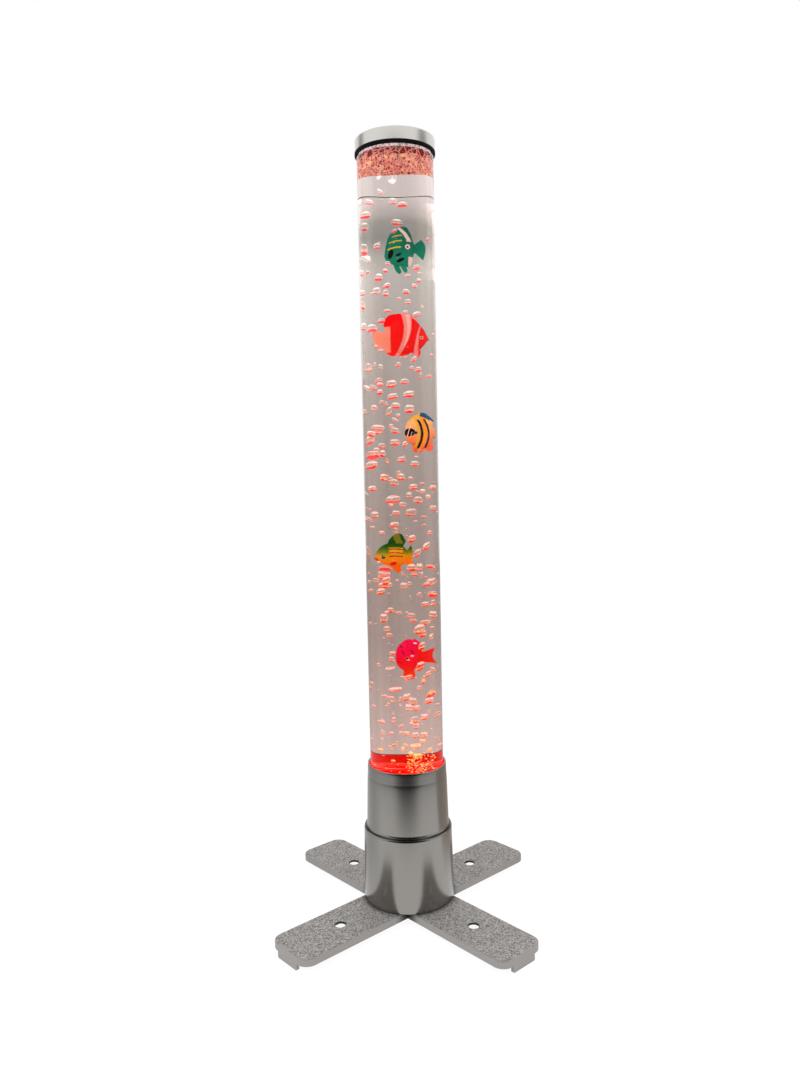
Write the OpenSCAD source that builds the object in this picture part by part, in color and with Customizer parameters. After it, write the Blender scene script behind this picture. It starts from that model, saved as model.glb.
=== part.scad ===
// Bubble tube floor lamp: a water-filled acrylic tube on a two-stage base
// with a half-lapped cross foot, an air pump and a ring of lights inside.
// Millimetres, +Z up, origin on the floor under the tube's axis, front is -Y.

/* [Tube] */
// Outside diameter of the acrylic tube
tube_d = 100; // [96:0.5:102]
// Wall of the acrylic tube
tube_wall = 3; // [2:0.5:4]
// Length of the acrylic tube
tube_len = 864; // [780:1:1100]
// Thickness of the bonded tube floor
floor_t = 6; // [4:0.5:9]
// How far the tube floor lies below the rim of the cone
floor_drop = 10; // [4:0.5:16]

/* [Cross foot] */
// Reach of each arm from the axis
arm_reach = 206; // [170:1:260]
// Width of an arm
arm_w = 75; // [70:0.5:84]
// Radius of the arm's corners
arm_corner_r = 16; // [8:0.5:22]
// Fillet along the arm's top edge
arm_edge_r = 1.2; // [0.4:0.1:2]
// Depth of the arm's skirt
skirt_h = 9.3; // [8:0.1:14]
// Height of the standing tab below the skirt
tab_h = 8.7; // [7:0.1:14]
// Width of the standing tab
tab_w = 40; // [24:1:44]
// Thickness of the standing tab
tab_t = 4; // [3:0.5:8]
// Wall of the arm's skirt and top
arm_wall = 2.6; // [2:0.1:3.4]
// Diameter of the hole in each arm
arm_hole_d = 14.5; // [6:0.5:18]
// Distance of that hole from the axis
arm_hole_r = 122.2; // [100:0.2:140]

/* [Lower housing] */
// Outside diameter at the foot
housing_d = 124.2; // [122:0.2:132]
// Outside diameter under the shoulder
shoulder_d = 120.8; // [119:0.2:122]
// Height of the housing
housing_h = 100.5; // [94:0.5:130]
// Height of the groove between the housing's foot and the arms
foot_groove_h = 0.8; // [0.3:0.1:1.4]
// How far the rolled shoulder turns inward before the seam, in degrees
roll_turn = 60; // [45:5:75]
// Wall of the housing
housing_wall = 2.6; // [2:0.1:3.2]
// Thickness of the housing's deck
deck_t = 3; // [2:0.1:5]
// Thickness of the bottom plate
plate_t = 3; // [2.4:0.1:5]

/* [Upper cone] */
// Outside diameter at the foot of the cone
cone_d = 112.7; // [112:0.1:114]
// Outside diameter at the rim
rim_d = 107.4; // [107.2:0.1:110]
// Height of the cone
cone_h = 85.6; // [80:0.2:110]
// How far below the rim the shallow crease round the cone runs
crease_drop = 16; // [8:0.5:30]
// How far the wall swells out under the crease
crease_step = 0.3; // [0:0.05:0.6]
// Wall of the cone
cone_wall = 2.2; // [1.8:0.1:2.4]
// Thickness of the black gasket under the cone
gasket_t = 1.9; // [1:0.1:4]
// How far the clear seal round the tube lies below the rim
rim_seal_drop = 0.8; // [0.2:0.1:4]

/* [Tube socket] */
// Wall of the socket round the tube
socket_wall = 1.35; // [1:0.05:1.5]
// Depth of tube held in the socket
socket_depth = 36; // [24:1:40]
// Height of the skirt that lifts the tube off the deck
socket_lift = 27.5; // [22:0.5:36]

/* [Cap] */
// Outside diameter of the cap
cap_d = 103.8; // [103:0.1:108]
// Height of the cap's bright side
cap_h = 16.7; // [12:0.1:30]
// Wall of the cap
cap_wall = 2.2; // [1.6:0.1:3]
// Rounding of the cap's top edge
cap_edge_r = 2.2; // [0.6:0.1:3]
// Outside diameter of the black seal under the cap
seal_d = 105; // [104.8:0.1:110]
// How far the seal reaches down the tube
seal_grip = 2.4; // [1.5:0.1:8]
// Thickness of the seal between the tube's end and the cap
seal_web = 2.0; // [1:0.1:4]
// Number of air vents in the cap
vent_count = 8; // [4:1:12]

/* [Air and light] */
// Diameter of the air hose
hose_d = 6; // [5:0.5:7]
// Bore of the air hose
hose_bore = 4.2; // [3.6:0.1:4.6]
// Number of lights under the tube floor
led_count = 12; // [6:1:16]
// Diameter of one light
led_d = 5; // [3:0.5:5.5]
// Height of the light board above the tube's lower end
board_lift = 26; // [22:0.5:28]

/* [Controls] */
// Height of the power inlet above the floor
inlet_z = 40; // [36:0.5:46]
// Height of the push button above the floor
button_z = 72; // [66:0.5:88]
// Diameter of the push button
button_d = 8.6; // [6:0.1:9.5]
// Travel of the push button
button_travel = 1.2; // [0.6:0.1:2]

/* [Fish] */
// Thickness of the fishes' fins
fin_t = 1.2; // [0.8:0.1:2]
// Thickness of the fishes' bodies
fish_t = 15; // [10:0.5:20]
// Height of the green fish above the floor
green_z = 893; // [880:1:905]
// Height of the red fish
red_z = 779; // [770:1:790]
// Height of the striped fish
striped_z = 654; // [645:1:665]
// Height of the golden fish
golden_z = 496; // [485:1:505]
// Height of the pink fish
pink_z = 355; // [345:1:365]

/* [Hidden] */

$fn = 96;
eps = 0.01;            // overlap of shapes that are joined
seat_gap = 0.15;       // clearance of parts that sit in each other
bond_gap = 0.15;       // glue line round the tube

// Heights of the stack, from the floor up
arm_top = tab_h + skirt_h;
lap_z = tab_h + skirt_h / 2;
plate_top = arm_top + plate_t;
deck_top = arm_top + housing_h;
deck_low = deck_top - deck_t;
cone_low = deck_top + gasket_t;
cone_floor_t = 2;
socket_low = cone_low + cone_floor_t;
tube_low = socket_low + socket_lift;
rim_z = cone_low + cone_h;
floor_top = rim_z - floor_drop;
floor_low = floor_top - floor_t;
tube_top = tube_low + tube_len;
seal_top = tube_top + seal_web;
seal_low = tube_top - seal_grip;
cap_top = seal_top + cap_h;
crease_z = rim_z - crease_drop;
socket_floor_t = 3;
board_low = tube_low + board_lift;
board_t = 1.6;
board_top = board_low + board_t;

// Radii
tube_r = tube_d / 2;
bore_r = tube_r - tube_wall;
housing_r = housing_d / 2;
shoulder_r = shoulder_d / 2;
deck_open_r = 16;
socket_in_r = tube_r + bond_gap;
socket_out_r = socket_in_r + socket_wall;
seal_r = seal_d / 2;
spigot_r = bore_r - 0.6;

// The housing's shoulder rolls in to the seam, and the cone's foot sweeps on
// from there in a cove of the same radius
sweep_r = (shoulder_d - cone_d) / 4 / (1 - cos(roll_turn));
seam_r = (shoulder_d + cone_d) / 4;
roll_low = deck_top - sweep_r * sin(roll_turn);
cove_top = deck_top + sweep_r * sin(roll_turn);
seam_gap = 0.2;         // hairline between the housing and the cone's foot
lip_w = 2.4;            // width of the cone's lip, which hides the gasket
lip_in_r = seam_r - lip_w;

// Screws that join the housing, the cone and the socket
socket_screw_r = 44.5;
socket_boss_h = 9;
flange_open_r = 39;
screw_d = 3;
screw_pilot_d = 3.1;
screw_hole_d = 3.4;
screw_head_d = 6;
screw_head_h = 2.2;

// Screws of the bottom plate and of the foot
pillar_r = housing_d / 2 - housing_wall - 6.5;
pillar_d = 9;
pillar_bite = 9;        // how far the plate's screws run into the pillars
pillar_turn = 45;
cross_turn = 45;
foot_screw_at = 22;
foot_screw_d = 4;
foot_pilot_d = 4.1;
foot_hole_d = 4.4;
foot_head_d = 8;
foot_head_h = 3;
foot_boss_d = 10;
foot_boss_h = 5;
foot_bite = 3;          // how far the foot screws run into their bosses

// Air outlet, off centre in the tube floor
nozzle_at = [20, -6];
nozzle_stem_d = 8;
nozzle_flange_d = 16;
nozzle_flange_h = 2.6;
nozzle_seal_t = 1;
nozzle_nut_w = 13;
nozzle_nut_h = 5;
nozzle_barb_d = 4;
nozzle_barb_len = 16;

// Lights
led_ring_r = 38;
led_board_r = 43;
spacer_r = 30;
spacer_turns = [45, 165, 285];
spacer_d = 6;

// Pump
pump_size = [44, 56, 22];
pump_cover_h = 12;
pump_at = [6, -2];
pump_foot_h = 6;
pump_foot_d = 10;
pump_low = plate_top + pump_foot_h;
pump_seam = pump_low + pump_size[2];
pump_high = pump_seam + pump_cover_h;
pump_inset = 7;
pump_corner_r = 6;
outlet_at = [6, 8];
outlet_len = 9;
valve_d = 12;
valve_len = 14;
valve_low = pump_high + 24;

// Control board, upright in two slotted posts, over the foot screws' bosses
control_size = [board_t, 50, 58];
control_x = -(housing_d / 2 - 24.1);
control_low = plate_top + foot_boss_h + 1;
relay_size = [3, 12, 8];
relay_at = [-10, 30];   // across the board, and up from its lower edge
plug_size = [7, 8, 10];
plug_at = [2, 24];
can_d = 7;
can_h = 9;
can_up = 46;
can_y = [-18, -10];
rail_size = [8, 7, 16];
rail_y = 21;

// Inlet and switch in the back wall
spot_depth = 0.6;
inlet_flange_d = 11;
inlet_barrel_d = 8;
inlet_bore_d = 5.7;
inlet_pin_d = 2;
inlet_depth = 11;
inlet_len = 17;
flange_t = 1.6;
inlet_nut_w = 11;
inlet_nut_t = 2.4;
switch_flange_d = 16;
switch_barrel_d = 12;
switch_len = 21;
switch_nut_w = 16;
switch_nut_t = 3;
button_gap = 0.1;
button_proud = 1.8;
button_len = 13;

// Routes of the hose and of the leads, chosen by hand
valve_top = valve_low + valve_len;
hose_route = [
    [outlet_at[0], outlet_at[1], valve_top + 0.6],
    [outlet_at[0], outlet_at[1], valve_top + 10],
    [7, 7, deck_top + 4],
    [12, 1, deck_top + 18],
    [nozzle_at[0], nozzle_at[1], tube_low - 6],
    [nozzle_at[0], nozzle_at[1], floor_low - nozzle_nut_h - 2]
];
lead_d = 2.4;
lead_gap = 0.2;         // between a lead's end and what it is soldered to
lead_hole_x = -12;
inlet_back = [0, spot_y(inlet_z) - inlet_len - lead_gap, inlet_z];
switch_back = [0, spot_y(button_z) - switch_len - lead_gap, button_z];
pump_exit = [pump_at[0] - pump_size[0] / 2 - lead_gap, 0, pump_low + 18];
// Where a lead meets the board: across it, and up from its lower edge
port_inlet = [18, 33];
port_switch = [12, 47];
port_pump = [-8, 21];
port_light = [-3, 51];
function port(at, out = 0) = [control_x + board_t / 2 + lead_gap + out, at[0], control_low + at[1]];
lead_routes = [
    [inlet_back, inlet_back - [0, 5, 0], [-22, 30, 56], port(port_inlet, 5), port(port_inlet)],
    [switch_back, switch_back - [0, 4, 0], [-20, 24, 74], port(port_switch, 5), port(port_switch)],
    [pump_exit, pump_exit - [4, 0, 0], port(port_pump, 6), port(port_pump)],
    [port(port_light), port(port_light, 5), [-16, 0, 104], [-8, 0, deck_top],
     [-10, 0, tube_low - 8], [lead_hole_x, 0, board_low - 10], [lead_hole_x, 0, board_low - lead_gap]]
];

// ---------------------------------------------------------------- helpers

// Copies round the axis
module ring_of(count, radius, turn = 0)
    for (i = [0 : count - 1])
        rotate([0, 0, turn + i * 360 / count]) translate([radius, 0, 0]) children();

// Rounded rectangle as a flat outline
module soft_rect(len, wid, r) {
    square([len - 2 * r, wid], center = true);
    square([len, wid - 2 * r], center = true);
    for (x = [-1, 1], y = [-1, 1])
        translate([x * (len / 2 - r), y * (wid / 2 - r)]) circle(r);
}

// Half section of a plate whose top edge is filleted
module edge_section(half, high, edge) {
    square([half, high - edge]);
    square([half - edge, high]);
    translate([half - edge, high - edge]) circle(edge, $fn = 32);
}

// Straight bar along x with that section on both sides
module filleted_bar(run, half, high, edge)
    rotate([90, 0, 90]) linear_extrude(run, center = true)
        for (side = [0, 1]) mirror([side, 0]) edge_section(half, high, edge);

// Slab with rounded corners and a filleted top edge
module soft_slab(len, wid, r, high, edge) {
    for (x = [-1, 1], y = [-1, 1])
        translate([x * (len / 2 - r), y * (wid / 2 - r), 0])
            rotate_extrude() edge_section(r, high, edge);
    filleted_bar(len - 2 * r, wid / 2, high, edge);
    rotate([0, 0, 90]) filleted_bar(wid - 2 * r, len / 2, high, edge);
}

// Pan-head screw pointing up, its head below z = 0
module pan_screw(d, len, head_d, head_h) {
    translate([0, 0, -eps]) cylinder(h = len + eps, d = d);
    translate([0, 0, -head_h]) difference() {
        cylinder(h = head_h, d = head_d);
        for (turn = [0, 90]) rotate([0, 0, turn])
            translate([-head_d / 4, -0.4, -eps]) cube([head_d / 2, 0.8, head_h / 2]);
    }
}

// Countersunk screw pointing up, its head flush with z = 0
module flush_screw(d, len, head_d) {
    head_h = (head_d - d) / 2;
    difference() {
        rotate_extrude() polygon([[0, 0], [head_d / 2, 0], [d / 2, head_h], [d / 2, len], [0, len]]);
        for (turn = [0, 90]) rotate([0, 0, turn])
            translate([-head_d / 4, -0.35, -1]) cube([head_d / 2, 0.7, 1.7]);
    }
}

// Hexagonal nut across flats w
module hex_nut(w, high, bore_d)
    difference() {
        cylinder(h = high, d = w / cos(30), $fn = 6);
        translate([0, 0, -1]) cylinder(h = high + 2, d = bore_d);
    }

// Solid swept along a route: rings carried square to the path
function unit(v) = v / norm(v);
function smooth(p) = concat(
    [p[0]],
    [for (i = [0 : len(p) - 2]) for (s = [0.25, 0.75]) p[i] * (1 - s) + p[i + 1] * s],
    [p[len(p) - 1]]);
function heading(p, i) = unit(p[min(i + 1, len(p) - 1)] - p[max(i - 1, 0)]);
function carried(side, t) = unit(side - (side * t) * t);
function sides(p, i = 0, last = [0.31, 0.87, 0.38]) = i == len(p) ? [] :
    let (s = carried(last, heading(p, i))) concat([s], sides(p, i + 1, s));
module loft(rings) {
    n = len(rings);
    m = len(rings[0]);
    points = concat([for (r = rings) each r],
                    [middle(rings[0]), middle(rings[n - 1])]);
    walls = [for (i = [0 : n - 2]) for (j = [0 : m - 1])
        let (k = (j + 1) % m, a = i * m, b = a + m)
            each [[a + j, b + j, b + k], [a + j, b + k, a + k]]];
    ends = [for (j = [0 : m - 1]) let (k = (j + 1) % m)
        each [[j, k, n * m], [(n - 1) * m + k, (n - 1) * m + j, n * m + 1]]];
    polyhedron(points, concat(walls, ends));
}
function middle(ring, i = 0) = i == len(ring) ? [0, 0, 0] :
    ring[i] / len(ring) + middle(ring, i + 1);
module swept(route, d, count) {
    p = smooth(smooth(route));
    s = sides(p);
    loft([for (i = [0 : len(p) - 1])
        let (t = heading(p, i), u = s[i], v = cross(t, u))
            [for (j = [0 : count - 1])
                let (a = 360 * j / count) p[i] + d / 2 * (cos(a) * u + sin(a) * v)]]);
}

// ------------------------------------------------------------- cross foot

module arm_tray() {
    inner_w = arm_w - 2 * arm_wall;
    hub = arm_w / 2 + seat_gap;
    tray_len = arm_reach - hub - 2 * arm_wall;
    difference() {
        translate([0, 0, tab_h])
            soft_slab(2 * arm_reach, arm_w, arm_corner_r, skirt_h, arm_edge_r);
        for (side = [0, 180]) rotate([0, 0, side])
            translate([hub + arm_wall + tray_len / 2, 0, tab_h - 1])
                linear_extrude(skirt_h - arm_wall + 1)
                    soft_rect(tray_len, inner_w, arm_corner_r - arm_wall);
    }
    for (side = [0, 180]) rotate([0, 0, side]) {
        arm_ribs(hub + arm_wall, inner_w);
        arm_tab();
    }
}

// Ribs under one arm, clear of its hole
module arm_ribs(start, inner_w) {
    rib_t = 1.8;
    rib_drop = 2;
    rib_pitch = 24;
    hole_rib = 26;
    rib_h = skirt_h - arm_wall - rib_drop + eps;
    rib_low = tab_h + rib_drop;
    stop = arm_reach - arm_wall;
    for (y = [-1, 1])
        translate([start - eps, y * inner_w / 5 - rib_t / 2, rib_low])
            cube([stop - start + 2 * eps, rib_t, rib_h]);
    for (x = [start + rib_pitch, start + 2 * rib_pitch, arm_hole_r + hole_rib,
              arm_hole_r + hole_rib + rib_pitch])
        translate([x - rib_t / 2, -inner_w / 2 - eps, rib_low])
            cube([rib_t, inner_w + 2 * eps, rib_h]);
}

// Thin tab at the arm's end, on which the lamp stands
module arm_tab() {
    tab_r = 2;
    translate([arm_reach - tab_t, 0, 0]) rotate([90, 0, 90]) linear_extrude(tab_t) {
        translate([-tab_w / 2, tab_r]) square([tab_w, tab_h + arm_wall - tab_r]);
        translate([-tab_w / 2 + tab_r, 0]) square([tab_w - 2 * tab_r, tab_h]);
        for (y = [-1, 1]) translate([y * (tab_w / 2 - tab_r), tab_r]) circle(tab_r, $fn = 32);
    }
}

module arm_holes() {
    for (side = [-1, 1]) translate([side * arm_hole_r, 0, -1])
        cylinder(h = arm_top + 2, d = arm_hole_d);
    for (x = [-1, 1], y = [-1, 1])
        translate([x * foot_screw_at, y * foot_screw_at, -1])
            cylinder(h = arm_top + 2, d = foot_hole_d);
}

module foot_bar_lower() {
    notch = arm_w / 2 + seat_gap;
    color([0.62, 0.6, 0.58]) rotate([0, 0, cross_turn]) difference() {
        arm_tray();
        translate([-notch, -arm_w, lap_z]) cube([2 * notch, 2 * arm_w, skirt_h]);
        arm_holes();
    }
}

module foot_bar_upper() {
    notch = arm_w / 2 + seat_gap;
    color([0.6, 0.58, 0.56]) rotate([0, 0, cross_turn + 90]) difference() {
        arm_tray();
        translate([-notch, -arm_w, tab_h - 1]) cube([2 * notch, 2 * arm_w, lap_z - tab_h + 1]);
        arm_holes();
    }
}

module foot_screws() {
    color([0.75, 0.75, 0.77]) rotate([0, 0, cross_turn])
        for (x = [-1, 1], y = [-1, 1])
            translate([x * foot_screw_at, y * foot_screw_at, tab_h])
                pan_screw(foot_screw_d, skirt_h + plate_t + foot_bite, foot_head_d, foot_head_h);
}

// ------------------------------------------------------------------- base

module base_plate() {
    vent_r = pillar_r - 7;
    vent = [12, 3];
    slot = [board_t + 2 * seat_gap, 2 * (rail_y + rail_size[1])];
    color([0.16, 0.16, 0.17]) difference() {
        union() {
            translate([0, 0, arm_top])
                cylinder(h = plate_t, r = housing_r - housing_wall - 2 * seat_gap);
            rotate([0, 0, cross_turn]) for (x = [-1, 1], y = [-1, 1])
                translate([x * foot_screw_at, y * foot_screw_at, arm_top])
                    cylinder(h = plate_t + foot_boss_h, d = foot_boss_d);
            for (y = [-1, 1])
                translate([control_x - rail_size[0] / 2, y * rail_y - rail_size[1] / 2, plate_top - eps])
                    cube(rail_size);
        }
        rotate([0, 0, cross_turn]) for (x = [-1, 1], y = [-1, 1])
            translate([x * foot_screw_at, y * foot_screw_at, arm_top - 1])
                cylinder(h = plate_t + foot_boss_h + 2, d = foot_pilot_d);
        ring_of(4, pillar_r, pillar_turn) {
            translate([0, 0, arm_top - 1]) cylinder(h = plate_t + 2, d = screw_hole_d);
            translate([0, 0, arm_top - eps])
                cylinder(h = (screw_head_d + 0.4 - screw_hole_d) / 2,
                         d1 = screw_head_d + 0.4, d2 = screw_hole_d);
        }
        for (quarter = [0 : 3], step = [-1 : 1]) rotate([0, 0, quarter * 90 + step * 10])
            translate([vent_r - vent[0] / 2, -vent[1] / 2, arm_top - 1])
                cube([vent[0], vent[1], plate_t + 2]);
        translate([control_x - slot[0] / 2, -slot[1] / 2, control_low])
            cube([slot[0], slot[1], rail_size[2]]);
    }
}

module base_plate_screws()
    color([0.75, 0.75, 0.77]) ring_of(4, pillar_r, pillar_turn)
        translate([0, 0, arm_top]) flush_screw(screw_d, plate_t + pillar_bite, screw_head_d);

// Outline of the housing's shell: tapered wall and rolled shoulder
function housing_wall_r(z) = housing_r + (shoulder_r - housing_r)
    * (z - arm_top) / (roll_low - arm_top);
function shoulder_arc() = [for (i = [0 : 8]) let (a = i * roll_turn / 8)
    [shoulder_r - sweep_r * (1 - cos(a)), roll_low + sweep_r * sin(a)]];

module lower_housing() {
    inner_top = shoulder_r - housing_wall;
    pillar_low = plate_top;
    groove_top = arm_top + foot_groove_h;
    color([0.55, 0.54, 0.52]) difference() {
        union() {
            rotate_extrude($fn = 128) difference() {
                polygon(concat([[deck_open_r, deck_top], [deck_open_r, arm_top],
                                [housing_r - housing_wall / 2, arm_top],
                                [housing_r - housing_wall / 2, groove_top],
                                [housing_wall_r(groove_top), groove_top],
                                [housing_wall_r(roll_low - 1), roll_low - 1]], shoulder_arc()));
                polygon([[0, arm_top - 1], [housing_wall_r(arm_top - 1) - housing_wall, arm_top - 1],
                         [inner_top, roll_low - 1],
                         [inner_top - 3, deck_low], [0, deck_low]]);
            }
            intersection() {
                ring_of(4, pillar_r, pillar_turn) {
                    translate([0, 0, pillar_low])
                        cylinder(h = deck_low - pillar_low + eps, d = pillar_d);
                    translate([0, -1, pillar_low + 2])
                        cube([2 * pillar_d, 2, deck_low - pillar_low - 2]);
                }
                cylinder(h = deck_low + 1, r1 = housing_wall_r(0) - housing_wall / 2,
                         r2 = housing_wall_r(deck_low + 1) - housing_wall / 2, $fn = 128);
            }
        }
        ring_of(4, pillar_r, pillar_turn) translate([0, 0, pillar_low - 1])
            cylinder(h = pillar_bite + 3, d = screw_pilot_d);
        ring_of(4, socket_screw_r) translate([0, 0, deck_low - 1])
            cylinder(h = deck_t + 2, d = screw_hole_d);
        back_hole(inlet_z, inlet_barrel_d, inlet_flange_d);
        back_hole(button_z, switch_barrel_d, switch_flange_d);
    }
}

// Hole and spot face in the housing's back wall
module back_hole(z, barrel_d, flange_d) {
    translate([0, 0, z]) rotate([-90, 0, 0]) {
        cylinder(h = housing_r + 5, d = barrel_d + 2 * seat_gap);
        translate([0, 0, spot_y(z)]) cylinder(h = 10, d = flange_d + 4 * seat_gap);
    }
}
function spot_y(z) = housing_wall_r(z) - spot_depth;

module seam_gasket()
    color([0.06, 0.06, 0.06]) difference() {
        translate([0, 0, deck_top]) cylinder(h = gasket_t, r = lip_in_r - seat_gap, $fn = 128);
        translate([0, 0, deck_top - 1]) cylinder(h = gasket_t + 2, r = flange_open_r, $fn = 128);
        ring_of(4, socket_screw_r) translate([0, 0, deck_top - 1])
            cylinder(h = gasket_t + 2, d = screw_hole_d);
    }

// ------------------------------------------------------------------- cone

function rim_arc(r_out, r_in, z_top) = let (mid = (r_out + r_in) / 2, e = (r_out - r_in) / 2)
    [for (i = [0 : 6]) let (a = i * 30) [mid + e * cos(a), z_top - e + e * sin(a)]];

// Outline of the cone's side: straight, with a shallow swell under the crease
function cone_side_r(z) = let (t = max(0, crease_z - z))
    (rim_d + (cone_d - rim_d) * (rim_z - z) / (rim_z - cove_top)) / 2
    + crease_step * (1 - exp(-t / 4)) * (1 - t / (crease_z - cove_top));
function cove_arc() = let (start = asin((cove_top - deck_top - seam_gap) / sweep_r))
    [for (i = [8 : -1 : 0]) let (a = i * start / 8)
        [cone_d / 2 + sweep_r * (1 - cos(a)), cove_top - sweep_r * sin(a)]];

module upper_cone() {
    rim_r = rim_d / 2;
    side = concat([cove_top + 1], [for (t = [20, 12, 7.5, 4.5, 2.5, 1, 0, -0.6]) crease_z - t],
                  [rim_z - cone_wall]);
    color([0.52, 0.5, 0.48]) difference() {
        rotate_extrude($fn = 128) polygon(concat(
            [[flange_open_r, cone_low], [lip_in_r, cone_low], [lip_in_r, deck_top + seam_gap]],
            cove_arc(), [for (z = side) [cone_side_r(z), z]],
            rim_arc(rim_r, rim_r - cone_wall, rim_z),
            [[cone_d / 2 - cone_wall, socket_low], [flange_open_r, socket_low]]));
        ring_of(4, socket_screw_r) translate([0, 0, cone_low - 1])
            cylinder(h = cone_floor_t + 2, d = screw_hole_d);
    }
}

// Clear seal that fills the slot between the tube and the cone's rim
module rim_seal()
    color([0.95, 0.6, 0.55]) rotate_extrude($fn = 128)
        translate([tube_r + bond_gap, tube_low + socket_depth])
            square([rim_d / 2 - cone_wall - tube_r - 2 * bond_gap,
                    rim_z - rim_seal_drop - tube_low - socket_depth]);

module tube_socket() {
    floor_z = tube_low - socket_floor_t;
    skirt_r = socket_out_r - 2.4;
    flange_t2 = 3;
    color([0.1, 0.1, 0.11]) difference() {
        union() {
            rotate_extrude($fn = 128) polygon([
                [flange_open_r, socket_low], [socket_out_r, socket_low],
                [socket_out_r, tube_low + socket_depth], [socket_in_r, tube_low + socket_depth],
                [socket_in_r, tube_low], [0, tube_low], [0, floor_z],
                [skirt_r, floor_z], [skirt_r, socket_low + flange_t2],
                [flange_open_r, socket_low + flange_t2]]);
            ring_of(4, socket_screw_r) translate([0, 0, socket_low + flange_t2 - eps])
                cylinder(h = socket_boss_h, d = 8);
        }
        ring_of(4, socket_screw_r) translate([0, 0, socket_low - 1])
            cylinder(h = flange_t2 + socket_boss_h, d = screw_pilot_d);
        translate([nozzle_at[0], nozzle_at[1], floor_z - 1]) cylinder(h = 5, d = hose_d + 6);
        translate([lead_hole_x, 0, floor_z - 1]) cylinder(h = 5, d = lead_d + 4);
        for (turn = spacer_turns) rotate([0, 0, turn]) translate([spacer_r, 0, floor_z - 1])
            cylinder(h = 5, d = screw_pilot_d);
    }
}

module socket_screws()
    color([0.75, 0.75, 0.77]) ring_of(4, socket_screw_r) translate([0, 0, deck_low])
        pan_screw(screw_d, deck_t + gasket_t + cone_floor_t + 9, screw_head_d, screw_head_h);

// ------------------------------------------------------------------- tube

module bubble_tube()
    color([0.85, 0.92, 0.95, 0.3]) translate([0, 0, tube_low]) difference() {
        cylinder(h = tube_len, r = tube_r, $fn = 128);
        translate([0, 0, -1]) cylinder(h = tube_len + 2, r = bore_r, $fn = 128);
    }

module tube_floor()
    color([0.9, 0.5, 0.5, 0.5]) difference() {
        translate([0, 0, floor_low]) cylinder(h = floor_t, r = bore_r - bond_gap, $fn = 128);
        translate([nozzle_at[0], nozzle_at[1], floor_low - 1])
            cylinder(h = floor_t + 2, d = nozzle_stem_d + 2 * seat_gap);
    }

module at_nozzle(z) translate([nozzle_at[0], nozzle_at[1], z]) children();

module air_nozzle() {
    flange_z = floor_top + nozzle_seal_t;
    stem_low = floor_low - nozzle_nut_h - 1;
    tip_h = 3;
    color([0.2, 0.2, 0.21]) difference() {
        union() {
            at_nozzle(stem_low) cylinder(h = flange_z - stem_low + eps, d = nozzle_stem_d);
            at_nozzle(flange_z) cylinder(h = nozzle_flange_h, d = nozzle_flange_d);
            at_nozzle(flange_z + nozzle_flange_h - eps)
                cylinder(h = tip_h, d1 = nozzle_flange_d - 5, d2 = nozzle_stem_d - 1);
            at_nozzle(stem_low - nozzle_barb_len) {
                cylinder(h = nozzle_barb_len + eps, d = nozzle_barb_d);
            }
        }
        at_nozzle(stem_low - nozzle_barb_len - 1)
            cylinder(h = flange_z - stem_low + nozzle_flange_h + nozzle_barb_len + tip_h + 2, d = 2);
    }
}

module nozzle_seal()
    color([0.05, 0.05, 0.05]) at_nozzle(floor_top) difference() {
        cylinder(h = nozzle_seal_t, d = nozzle_flange_d - 1);
        translate([0, 0, -1]) cylinder(h = nozzle_seal_t + 2, d = nozzle_stem_d + 2 * seat_gap);
    }

module nozzle_nut()
    color([0.2, 0.2, 0.21]) at_nozzle(floor_low - nozzle_nut_h)
        hex_nut(nozzle_nut_w, nozzle_nut_h, nozzle_stem_d + 2 * seat_gap);

// ----------------------------------------------------------------- lights

module led_board()
    color([0.93, 0.93, 0.9]) difference() {
        translate([0, 0, board_low]) cylinder(h = board_t, r = led_board_r);
        at_nozzle(board_low - 1) cylinder(h = board_t + 2, d = hose_d + 6);
        for (turn = spacer_turns) rotate([0, 0, turn])
            translate([spacer_r, 0, board_low - 1]) cylinder(h = board_t + 2, d = screw_hole_d);
    }

module led_emitters()
    color([0.95, 0.25, 0.2]) ring_of(led_count, led_ring_r, 15) translate([0, 0, board_top]) {
        cylinder(h = 1, d = led_d + 0.8, $fn = 32);
        cylinder(h = 3.2, d = led_d, $fn = 32);
        translate([0, 0, 3.2]) intersection() {
            sphere(d = led_d, $fn = 32);
            cylinder(h = led_d, d = led_d + 1, $fn = 32);
        }
    }

module led_spacers()
    color([0.8, 0.65, 0.3]) for (turn = spacer_turns) rotate([0, 0, turn])
        translate([spacer_r, 0, tube_low]) {
            difference() {
                cylinder(h = board_lift, d = spacer_d / cos(30), $fn = 6);
                translate([0, 0, board_lift - 10]) cylinder(h = 11, d = screw_pilot_d);
            }
            translate([0, 0, -socket_floor_t]) cylinder(h = socket_floor_t + eps, d = screw_d);
        }

module led_board_screws()
    color([0.75, 0.75, 0.77]) for (turn = spacer_turns) rotate([0, 0, turn])
        translate([spacer_r, 0, board_top]) mirror([0, 0, 1])
            pan_screw(screw_d, 9, screw_head_d, screw_head_h);

// ------------------------------------------------------------------- pump

module at_pump(z) translate([pump_at[0], pump_at[1], z]) children();
module pump_corners() for (x = [-1, 1], y = [-1, 1])
    translate([x * (pump_size[0] / 2 - pump_inset), y * (pump_size[1] / 2 - pump_inset), 0]) children();

module pump_case()
    color([0.13, 0.13, 0.14]) at_pump(pump_low) difference() {
        linear_extrude(pump_size[2]) soft_rect(pump_size[0], pump_size[1], pump_corner_r);
        pump_corners() {
            translate([0, 0, pump_size[2] - 9]) cylinder(h = 10, d = screw_pilot_d);
            translate([0, 0, -1]) cylinder(h = 3, d = 5);
        }
        for (y = [-12 : 4 : 12]) translate([-pump_size[0] / 2 - 1, y - 1, 5])
            cube([2, 2, pump_size[2] - 10]);
    }

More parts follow.
